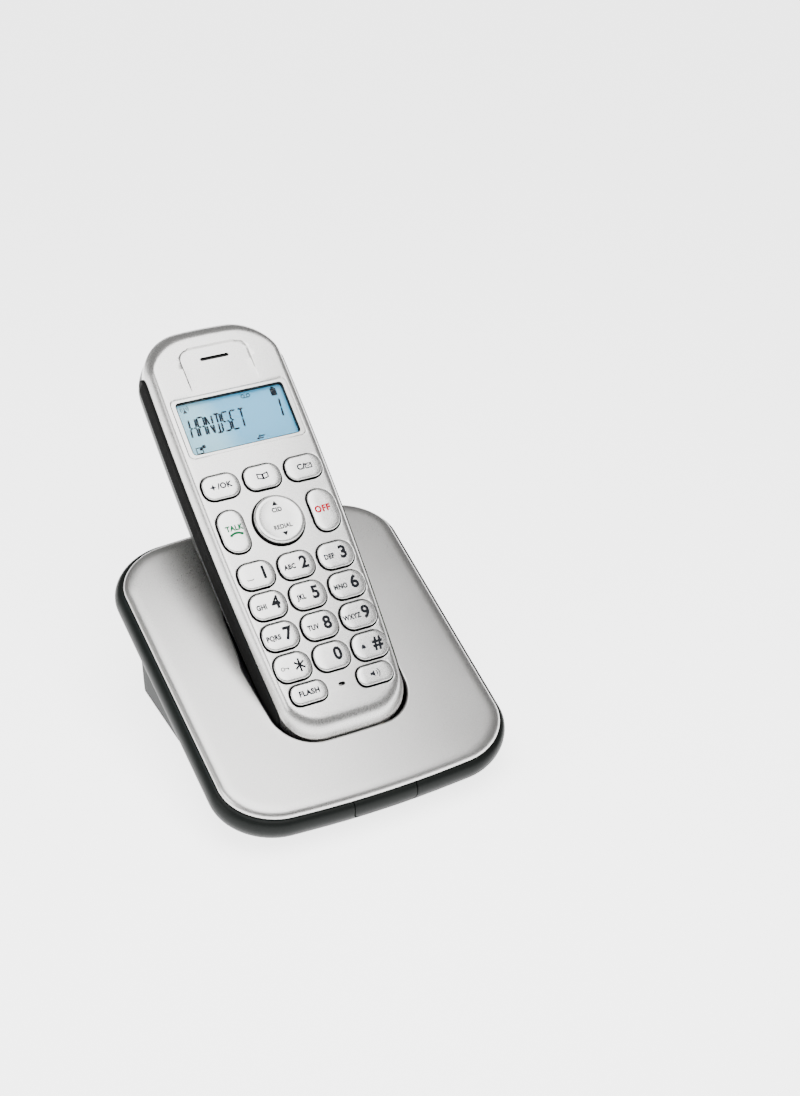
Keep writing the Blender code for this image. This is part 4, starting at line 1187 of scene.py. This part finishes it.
# %% [markdown]
# Behind the silver face the handset is a charcoal tub, rounded so that it sits well in the hand. Its
# rows follow a soft profile: straight sides, then a curve into the flat back. The back is stepped: the
# end that stands in the cradle is thinner, and the upper part is thicker where the cells lie.

# %% Rear shell
DOOR = {"half": 15.0, "low": 4.0, "high": 52.0, "thick": 1.3}
DOOR_TRAVEL = 9.0
DOOR_MIDDLE = (DOOR["low"] + DOOR["high"]) / 2
DOOR_LENGTH = DOOR["high"] - DOOR["low"]
BACK_UPPER = -22.5
WALL = 1.8
TUB_PROFILE = [
    (0.0, 0.0), (0.0, 0.25), (0.12, 0.42), (0.42, 0.57), (0.95, 0.7),
    (1.7, 0.81), (2.7, 0.895), (3.8, 0.95), (5.0, 0.983), (6.2, 1.0),
]


def back_depth(v):
    """The back's depth: a short soft step where the cell bay begins."""
    bay = smooth_step(v, 0.2, 3.6)
    return along(BACK_LINE, v) * (1 - bay) + BACK_UPPER * bay


def tub_row(inset, share, wall=0.0):
    split = SPLIT - GAP
    return [(x, y, split + (back_depth(y) + wall - split) * share) for x, y in handset_outline(inset)]


def make_rear_shell():
    outer = [tub_row(inset, share) for inset, share in TUB_PROFILE]
    tub = loose_object("rear_moulding", loft(outer), HANDSET)
    inner = [tub_row(inset, share, WALL) for inset, share in ((WALL, 0.2), (2.2, 0.7), (4.8, 1.0))]
    carve(tub, loft([at(handset_outline(WALL), SPLIT + 1.6)] + inner), HANDSET)
    # The seat lets the door slide down. The bay behind it holds the cells.
    seat_place = (0.0, (DOOR["low"] - DOOR_TRAVEL + DOOR["high"]) / 2 + GAP)
    seat = rounded(2 * DOOR["half"] + 2 * GAP, DOOR_LENGTH + DOOR_TRAVEL, 1.6, seat_place)
    bay = rounded(2 * DOOR["half"] - 3.0, DOOR_LENGTH - 3.0, 1.6, (0.0, DOOR_MIDDLE))
    for shape, low, high in (
        (seat, BACK_UPPER - 1.0, BACK_UPPER + DOOR["thick"] + GAP),
        (bay, BACK_UPPER - 2.0, SPLIT - 2.0),
    ):
        carve(tub, loft([at(shape, low), at(shape, high)], "flat"), HANDSET)
    return tub


tub = make_rear_shell()
print("rear shell", len(tub.data.polygons), "faces")

# %% [markdown]
# A loudspeaker behind the back plays the speakerphone and the ringer. Its grille is a round pattern of
# small holes, four rings round one in the middle. Geometry Nodes place a short drill at every point of
# each ring and cut them all from the shell in one Boolean.


# %% Speaker grille
def grille_group():
    sizes = {"Rings": "Int", "Spacing": "Float", "Drill": "Float", "Depth": "Float", "Centre": "Vector"}
    group, tree, given = new_group("speaker_grille", sizes)
    count = given["Rings"] * (given["Rings"] - 1.0) * 3.0 + 1.0
    points = tree.node("GeometryNodeMeshLine", {"mode": "OFFSET"}, {"Count": count})
    number = tree.node("GeometryNodeInputIndex")
    ring = tree.math("CEIL", tree.math("SQRT", number / 3.0 + 0.25) - 0.5001)
    first = ring * (ring - 1.0) * 3.0 + 1.0
    turn = (number - first) / tree.math("MAXIMUM", ring * 6.0, 1.0) * (2 * math.pi)
    far = ring * given["Spacing"]
    flat = {"X": far * tree.math("COSINE", turn), "Y": far * tree.math("SINE", turn)}
    place = tree.node("ShaderNodeCombineXYZ", {}, flat)
    moved = tree.node("ShaderNodeVectorMath", {"operation": "ADD"}, {0: place, 1: given["Centre"]})
    placed = tree.node("GeometryNodeSetPosition", {}, {"Geometry": points, "Position": moved})
    sizes = {"Vertices": 12, "Radius": given["Drill"], "Depth": given["Depth"]}
    drill = tree.node("GeometryNodeMeshCylinder", {}, sizes)
    return close_group(group, tree, given["Body"], placed, drill, CHARCOAL, "cut")


# The tree works in the handset's own frame, so the shell is taken there and brought back.
tub.data.transform(TO_ROOM.inverted())
grille = {"Rings": 5, "Spacing": 1.75, "Drill": 0.5, "Depth": 6.0, "Centre": (0.0, -28.0, -19.0)}
run_group(tub, grille_group(), grille)
tub.data.transform(TO_ROOM)
print("drilled shell", len(tub.data.polygons), "faces")

# %% [markdown]
# The cell door slides down to open. It is a thin plate with raised ribs across its lower end, where the
# thumb pushes, and a shallow arrow-shaped dip above them. The ribs repeat, so Geometry Nodes lay them out
# on a line and join them to the plate.


# %% Cell door
def make_door():
    outer, seat_level = BACK_UPPER, BACK_UPPER + DOOR["thick"]
    rows = []
    for inset, n in ((0.35, outer), (0.1, outer + 0.08), (0.0, outer + 0.3), (0.0, seat_level)):
        size = (2 * (DOOR["half"] - inset), DOOR_LENGTH - 2 * inset)
        rows.append(at(rounded(*size, 1.4 - inset, (0.0, DOOR_MIDDLE)), n))
    door = loose_object("cell_door", loft(rows, "flat"), KEEP_MM)
    arrow = [(0.0, DOOR["low"] + 13.5), (2.6, DOOR["low"] + 17.0), (-2.6, DOOR["low"] + 17.0)]
    carve(door, loft([at(arrow, outer - 1.0), at(arrow, outer + 0.3)], "flat"), KEEP_MM)
    start = (0.0, DOOR["low"] + 2.2, outer - 0.06)
    ribs = {"Count": 7, "Pitch": (0.0, 1.5, 0.0), "Start": start, "Bar": (17.0, 0.6, 0.36)}
    run_group(door, slot_group("thumb_ribs", "join", CHARCOAL), ribs)
    door.data.transform(TO_ROOM)
    return make_piece(door, "battery_door", CHARCOAL, ["battery_door"], 30)


door = make_door()
make_piece(tub, "handset", CHARCOAL, ["handset_rear_shell"], 30)
print("door", len(door.data.polygons), "faces")

# %% [markdown]
# The rubber grips run down both sides. Their surface is a diamond knurl: rows of tiny four-sided
# pyramids, every other row shifted by half a step. The pyramids are counted off by index in Geometry
# Nodes, and the grip's place along the handset gives each one its distance out, so that the knurl follows
# the handset's curve.

# %% Side grips
GRIP = {"low": -59.0, "high": 58.0, "centre": -7.8, "half": 3.5, "proud": 0.85, "seat": 0.8}


def grip_rows(side):
    tall, low, high = GRIP["half"], GRIP["low"], GRIP["high"]
    ends = [tall * (1 - math.cos(math.radians(9 * i))) for i in range(11)]
    places = [low + e for e in ends]
    places += [low + tall + (high - low - 2 * tall) * i / 60 for i in range(1, 60)]
    places += [high - e for e in reversed(ends)]
    rows = []
    for v in places:
        edge = max(low + tall - v, v - high + tall, 0.0)
        half = max(math.sqrt(max(tall * tall - edge * edge, 0.0)), 0.35)
        wide, turn = handset_width(v), min(0.9, half * 0.6)
        proud = wide + GRIP["proud"]
        section = [(wide - GRIP["seat"], -half)]
        for angle in (math.radians(15 * i) for i in range(7)):
            section.append((proud - turn * (1 - math.sin(angle)), turn * (1 - math.cos(angle)) - half))
        section += [(u, -t) for u, t in reversed(section)]
        rows.append([(side * u, v, GRIP["centre"] + t) for u, t in section])
    return rows


# %% The knurl
def knurl_group():
    sizes = {"Rows": "Float", "Count": "Int", "Pitch": "Float", "Height": "Float"}
    sizes.update({"Start": "Vector", "Side": "Float"})
    group, tree, given = new_group("diamond_knurl", sizes)
    points = tree.node("GeometryNodeMeshLine", {"mode": "OFFSET"}, {"Count": given["Count"]})
    number = tree.node("GeometryNodeInputIndex")
    across = number % given["Rows"]
    station = tree.math("FLOOR", number / given["Rows"] + 0.0001)
    _, start_y, start_z = tree.parts(given["Start"])
    v = start_y + station * given["Pitch"] * 0.5
    t = start_z + (across + (station % 2.0) * 0.5) * given["Pitch"]
    u = (handset_width(v) + (GRIP["proud"] - 0.02)) * given["Side"]
    place = tree.node("ShaderNodeCombineXYZ", {}, {"X": u, "Y": v, "Z": t})
    placed = tree.node("GeometryNodeSetPosition", {}, {"Geometry": points, "Position": place})
    radii = {"Radius Top": 0.0, "Radius Bottom": given["Pitch"] * 0.49}
    stud = tree.node("GeometryNodeMeshCone", {}, {"Vertices": 4, "Depth": given["Height"], **radii})
    turn = tree.node("ShaderNodeCombineXYZ", {}, {"Y": given["Side"] * (math.pi / 2)})
    return close_group(group, tree, given["Body"], placed, stud, RUBBER, turn=turn)


knurl = knurl_group()
PITCH, ROWS = 0.9, 6
for side, name in ((-1, "left"), (1, "right")):
    grip = loose_object(f"side_grip_{name}", loft(grip_rows(side), "flat"), KEEP_MM)
    start = (0.0, GRIP["low"] + 2.2, GRIP["centre"] - PITCH * (ROWS - 0.5) / 2)
    stations = int((GRIP["high"] - GRIP["low"] - 4.4) / PITCH * 2) + 1
    sizes = {"Rows": float(ROWS), "Count": stations * ROWS, "Pitch": PITCH, "Height": 0.24}
    run_group(grip, knurl, {**sizes, "Start": start, "Side": float(side)})
    grip.data.transform(TO_ROOM)
    make_piece(grip, "handset", RUBBER, [f"grip_{name}"], 25)
    print(grip.name, len(grip.data.polygons), "faces")

# %% [markdown]
# The display is three layers: a clear lens in its frame, the liquid crystal cell under it and a white light
# guide behind. A dark ring round the lens is painted shade at the window's edges. The cell glows blue, and
# is paler in a slanting band on its left.
# Its characters are made of straight segments, as on every small telephone of this kind: one table says
# which segments each character lights.

# %% Display glass and lens
def make_lens():
    fixed = {"Roughness": 0.05, "Alpha": 0.06, "IOR": 1.49}
    made, tree, shader, where = new_material("display_lens", fixed)
    smear = tree.noise(where, 60.0, 2.0)
    vary(tree, shader, tree.blend(smear, (0.02, 0.035, 0.05), (0.03, 0.05, 0.07)))
    rim = [(0.0, -1.9), (0.0, -0.85), (0.05, -0.75), (0.15, -0.7)]
    rows = stepped(WINDOW[0] - 0.6, WINDOW[1] - 0.6, 1.0, (0.0, WINDOW_MIDDLE), rim)
    lens = loose_object("display_lens", loft(rows, "flat"), HANDSET)
    return make_piece(lens, "handset", made, ["display_window"], 30)


def glass_material():
    """Pale blue, lighter in a slanting band on the left, with a glossy surface."""
    fixed = {"Coat Weight": 0.3, "Coat Roughness": 0.06, "Emission Strength": 0.2}
    made, tree, shader, where = new_material("display_glass", fixed)
    across, _, up = tree.parts(where)
    middle = (HANDSET @ (Vector((0, WINDOW_MIDDLE, -2.2)) * MM)).z
    slant = across * 1000.0 + (up - middle) * 500.0
    pale = tree.ramp(slant * 0.02 + 0.5, 0.30, 0.46)
    tint = tree.blend(pale, (0.33, 0.74, 0.93), (0.10, 0.49, 0.80))
    cloud = tree.blend(tree.noise(where, 90.0, 2.0) * 0.3, (1.0, 1.0, 1.0), (0.9, 0.95, 1.0))
    settings = {"data_type": "RGBA", "blend_type": "MULTIPLY"}
    colour = tree.node("ShaderNodeMix", settings, {0: 1.0, 6: tint, 7: cloud}, out=2)
    vary(tree, shader, colour, tree.noise(where, 300.0, 1.0) * 0.1 + 0.25)
    tree.feed(shader.inputs["Emission Color"], colour)
    return made


def make_glass():
    rim = [(0.0, -3.6), (0.0, -2.35), (0.15, -2.2)]
    rows = stepped(WINDOW[0] + 1, WINDOW[1] + 2, 0.5, (0.0, WINDOW_MIDDLE), rim, 4)
    glass = loose_object("crystal_cell", loft(rows, "flat"), HANDSET)
    return make_piece(glass, "handset", glass_material(), ["display_panel"], 30)


def make_shade_rim():
    """A dark ring that fills the seam between the window and its frame: painted shade for the shadow line at
    the window's edges.
    """
    place = (0.0, WINDOW_MIDDLE)
    outer = stepped(*WINDOW, 1.3, place, [(-0.05, -1.9), (-0.05, -0.5)])
    inner = stepped(*WINDOW, 1.0, place, [(0.29, -2.5), (0.29, 0.5)])
    gasket = loose_object("display_shade_rim", loft(outer), HANDSET)
    carve(gasket, loft(inner), HANDSET)
    return make_piece(gasket, "handset", BLACK, [], 30)


make_lens()
# The dark ring round the window is painted shade.
make_shade_rim()
make_glass()
print("display glass made")

# %% Segment characters
SEGMENTS = {
    "a": ((0, 2), (1, 2)), "b": ((1, 2), (1, 1)), "c": ((1, 1), (1, 0)), "d": ((0, 0), (1, 0)),
    "e": ((0, 1), (0, 0)), "f": ((0, 2), (0, 1)), "g": ((0, 1), (0.5, 1)), "k": ((0.5, 1), (1, 1)),
    "h": ((0, 2), (0.5, 1)), "m": ((0.5, 1), (1, 0)), "i": ((0.5, 2), (0.5, 1)), "l": ((0.5, 1), (0.5, 0)),
}
LIT = {"H": "bcefgk", "A": "abcefgk", "N": "bcefhm", "D": "abcdil", "S": "afgkcd", "E": "adefg"}
LIT.update({"T": "ail", "1": "bc"})
SLANT = 0.09
INK_LEVELS = (-2.22, -2.16)
INK_SEGMENT = ink("display_segments", (0.004, 0.008, 0.014), 0.3)


def segment(start, end, width=0.62):
    """A bar with pointed ends, shortened so that it leaves a hairline to its neighbours."""
    length = math.hypot(end[0] - start[0], end[1] - start[1])
    dx, dy = (end[0] - start[0]) / length, (end[1] - start[1]) / length
    nx, ny = -dy * width / 2, dx * width / 2
    cut, tip = 0.06, 0.04 + width / 2
    near, far = [(p[0] + dx * s * cut, p[1] + dy * s * cut) for p, s in ((start, 1), (end, -1))]
    body = [(p[0] + dx * s * tip, p[1] + dy * s * tip) for p, s in ((start, 1), (end, -1))]
    left = [(p[0] + nx, p[1] + ny) for p in body]
    right = [(p[0] - nx, p[1] - ny) for p in reversed(body)]
    return plate_of([near, *left, far, *right])


# %% Characters and symbols
def character(letter, left, base, width=2.05, height=6.3):
    bars = []
    for name in LIT[letter]:
        places = [(x, y * height / 2) for x, y in SEGMENTS[name]]
        bars.append(segment(*[(left + x * width + high * SLANT, base + high) for x, high in places]))
    return bars


def symbols():
    """An aerial, a tape and a battery along the upper edge, a message and two arrows along the lower."""
    top, low = WINDOW_MIDDLE + 7.2, WINDOW_MIDDLE - 7.0
    parts = [bar([(-15.0, top + 0.6), (-15.0, top - 1.1)], 0.3)]
    for radius in (0.7, 1.3):
        parts += [arc((-15.0, top + 0.2), radius, a, b, 0.22, 6) for a, b in ((-40, 40), (140, 220))]
    parts.append(plate_of([(-15.0, top + 0.1), (-14.3, top - 1.2), (-15.7, top - 1.2)]))
    parts += [arc((x, top + 0.3), 0.55, 0, 350, 0.3, 14) for x in (4.6, 6.4)]
    parts.append(bar([(4.6, top - 0.25), (6.4, top - 0.25)]))
    left, right, bottom, upper = -15.9, -13.9, low - 1.0, low + 0.9
    parts += looped([(left, bottom), (right, bottom), (right, upper), (left, upper)], 0.3)
    blocks = [(2.0, 2.6, 0.2, (14.8, top - 0.4), 2), (0.9, 0.5, 0.1, (14.8, top + 1.2), 2)]
    blocks += [(0.8, 0.8, 0.1, (-14.4, low + 0.3), 2), (1.1, 1.1, 0.1, (-13.2, low + 1.0), 2)]
    parts += [plate_of(rounded(*block)) for block in blocks]
    arrow = [(4.2, 0), (5.0, 0.5), (5.0, 0.2), (6.6, 0.2), (6.6, -0.2), (5.0, -0.2), (5.0, -0.5)]
    return parts + [plate_of([(x + s, low + y + s) for x, y in arrow]) for s in (-0.35, 0.35)]


def make_segments():
    base = WINDOW_MIDDLE - 2.6
    parts = symbols() + character("1", 13.0, base + 0.6)
    for index, letter in enumerate("HANDSET"):
        parts += character(letter, -15.6 + index * 2.72, base)
    bm = merged(parts)
    for vertex in bm.verts:
        vertex.co.z = INK_LEVELS[vertex.co.z > 0]
    shown = loose_object("display_characters", bm, HANDSET)
    return make_piece(shown, "handset", INK_SEGMENT, angle=30)


make_segments()
print("segments made")

# %% [markdown]
# What is left keeps its CAD shape: the feet, the sockets and everything inside. Each still gets its own
# finish. The circuit boards are green lacquer over a faint weave with copper tracks showing through, the
# cells have a printed sleeve, and the membrane is milky silicone.


# %% Finishes of the inner pieces
def board_finish():
    made, tree, shader, where = new_material("board_lacquer", {"Coat Weight": 0.3, "Coat Roughness": 0.2})
    across, along_board, _ = tree.parts(where)
    track = tree.math("SINE", across * 900.0 * 2.0 + tree.noise(where, 90.0, 1.0) * 9.0)
    weave = tree.math("SINE", along_board * 900.0 * 3.5) * 0.5 + 0.5
    base = tree.blend(weave * 0.35, (0.006, 0.085, 0.03), (0.012, 0.12, 0.045))
    tone = tree.blend(tree.ramp(track, 0.55, 0.7) * 0.6, base, (0.03, 0.2, 0.07))
    vary(tree, shader, tone, weave * 0.1 + 0.35, tree.bump(track, 0.00001))
    return made


def plain_finish(name, colour, paler, roughness, scale):
    made, tree, shader, where = new_material(name, {})
    cloud = tree.noise(where, scale, 3.0, 0.6)
    tone = tree.blend(cloud, colour, paler)
    vary(tree, shader, tone, cloud * 0.15 + (roughness - 0.07), tree.bump(cloud, 0.00001))
    return made


def cell_finish():
    """A green sleeve with one pale band round it."""
    made, tree, shader, where = new_material("cell_sleeve", {"Coat Weight": 0.4, "Coat Roughness": 0.15})
    _, y, z = tree.parts(where)
    middle = HANDSET.inverted() @ Vector((0, 0, 0))
    up = HANDSET.to_3x3() @ Vector((0, 1, 0))
    along_cell = y * (up.y * 1000.0) + z * (up.z * 1000.0) + middle.y / MM
    band = tree.math("LESS_THAN", tree.math("ABSOLUTE", along_cell - 40.0), 3.0)
    tone = tree.blend(band, (0.01, 0.16, 0.05), (0.6, 0.62, 0.55))
    vary(tree, shader, tone, tree.noise(where, 400.0, 2.0) * 0.1 + 0.28)
    return made


BOARD = board_finish()
SILICONE = plain_finish("membrane_silicone", (0.30, 0.30, 0.30), (0.38, 0.38, 0.37), 0.6, 500.0)
LIGHT_GUIDE = plain_finish("light_guide", (0.75, 0.86, 0.92), (0.82, 0.9, 0.95), 0.3, 200.0)
JACK_PLASTIC = plain_finish("socket_plastic", (0.012, 0.012, 0.013), (0.024, 0.024, 0.025), 0.45, 700.0)
CONE = plain_finish("speaker_cone", (0.02, 0.02, 0.021), (0.04, 0.04, 0.04), 0.65, 900.0)
REST = {
    "base_circuit_board": BOARD,
    "handset_circuit_board": BOARD,
    "keypad_membrane": SILICONE,
    "display_backlight": LIGHT_GUIDE,
    "earpiece_speaker": CONE,
    "loudspeaker": CONE,
    "microphone": SCREW_METAL,
    "base_antenna": SCREW_METAL,
    "page_switch": JACK_PLASTIC,
    "line_jack": JACK_PLASTIC,
    "power_jack": JACK_PLASTIC,
    "battery_cell_left": cell_finish(),
    "battery_cell_right": cell_finish(),
}
REST.update({name: FOOT_RUBBER for name in FEET})
for name, finish in REST.items():
    for slot in frame["nodes"][name].material_slots:
        slot.material = finish
print("finished", len(REST), "inner pieces")

# %% [markdown]
# The screws that hold the base together are zinc plated, with a cross recess in a low domed head. The
# head is turned from a short profile, and the recess is a cross-shaped tapered punch cut into it.


# %% Screws
HEAD_PROFILE = [(0.9, -0.02), (1.8, 0.06), (2.35, 0.24), (2.62, 0.5), (2.7, 0.75), (2.7, 1.28), (1.3, 1.3)]


def cross_outline(middle, arm, reach):
    """A cross with four equal arms, a quarter turn at a time."""
    points = []
    for turn in range(4):
        for x, y in ((reach, -arm), (reach, arm), (arm, arm)):
            for _ in range(turn):
                x, y = -y, x
            points.append((middle.x + x, middle.y + y))
    return points


def make_screw(name):
    middle, size = box_of(name)
    low = middle.z - size.z / 2
    profile = HEAD_PROFILE + [(1.3, size.z)]
    rows = [at(disc(radius, (middle.x, middle.y), 40), low + height) for radius, height in profile]
    screw = loose_object("cross_" + name, loft(rows, "flat"))
    mouth, tip = cross_outline(middle, 0.34, 1.6), cross_outline(middle, 0.12, 0.9)
    carve(screw, loft([at(mouth, low - 0.5), at(mouth, low + 0.05), at(tip, low + 0.95)], "flat"))
    return make_piece(screw, "base", SCREW_METAL, [name], 30)


for name in SCREWS:
    make_screw(name)
print("screws made")

# %% [markdown]
# The telephone stands on a plain pale floor under soft light, as in a small studio. The floor is one
# large sheet that glows, so that it stays pale and the silver has something to reflect. A soft lamp low
# over the telephone gives the shape, and a second one fills the left. The surroundings are dim.


# %% Floor and light
def make_floor():
    bm = bmesh.new()
    bmesh.ops.create_grid(bm, x_segments=2, y_segments=2, size=4000.0)
    floor = loose_object("studio_floor", bm)
    fixed = {"Roughness": 0.3, "Specular IOR Level": 0.35, "Emission Strength": 3.4}
    made, tree, shader, where = new_material("studio_floor", fixed)
    cloud = tree.noise(where, 6.0, 2.0)
    vary(tree, shader, tree.blend(cloud * 0.5, (0.93, 0.93, 0.93), (0.90, 0.90, 0.90)))
    # The glow fades towards the front, so that faces which look that way stay a little darker.
    x, y, _ = tree.parts(where)
    behind = tree.ramp(x * 0.48 + y * 0.877 + 1.0, 0.1, 0.8)
    tree.feed(shader.inputs["Emission Color"], tree.blend(behind, (0.35, 0.35, 0.35), (1.0, 1.0, 1.0)))
    floor.data.materials.append(made)
    floor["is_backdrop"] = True
    return floor


def softbox(name, place, aim, size, power):
    lamp = bpy.data.lights.new(name, "AREA")
    lamp.shape = "RECTANGLE"
    lamp.size, lamp.size_y = size
    lamp.energy = power
    made = bpy.data.objects.new(name, lamp)
    made.location = place
    made.rotation_euler = (Vector(aim) - Vector(place)).to_track_quat("-Z", "Y").to_euler()
    bpy.context.scene.collection.objects.link(made)
    return made


make_floor()
softbox("key_light", (-0.025, -0.138, 0.40), (-0.025, -0.138, 0.0), (0.36, 0.49), 3.1)
softbox("left_light", (-0.95, -0.1, 0.45), (0.0, 0.0, 0.06), (0.6, 0.5), 5.0)
world = bpy.data.worlds.new("studio")
bpy.context.scene.world = world
world.use_nodes = True
backdrop = world.node_tree.nodes["Background"]
backdrop.inputs["Color"].default_value = (1.0, 1.0, 1.0, 1.0)
backdrop.inputs["Strength"].default_value = 0.2


# %% Camera
CAMERA_PLACE = (-0.19608, -0.43194, 0.35844)
CAMERA_RIGHT = (0.88417, -0.46661, 0.02293)
CAMERA_FORWARD = (0.40456, 0.73946, -0.53801)
CAMERA_LENS = 83.34


def make_camera():
    lens = bpy.data.cameras.new("camera")
    lens.sensor_fit = "HORIZONTAL"
    lens.sensor_width = 36.0
    lens.lens = CAMERA_LENS
    camera = bpy.data.objects.new("camera", lens)
    right = Vector(CAMERA_RIGHT).normalized()
    back = -Vector(CAMERA_FORWARD).normalized()
    up = back.cross(right).normalized()
    turned = Matrix((up.cross(back), up, back)).transposed().to_4x4()
    camera.matrix_world = Matrix.Translation(CAMERA_PLACE) @ turned
    bpy.context.scene.collection.objects.link(camera)
    bpy.context.scene.camera = camera
    return camera


make_camera()

# %% Sizes and finish
sizes = {"cad": [list(corner) for corner in cad_box], "visual": [list(corner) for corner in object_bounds()]}
print("box", sizes["visual"])
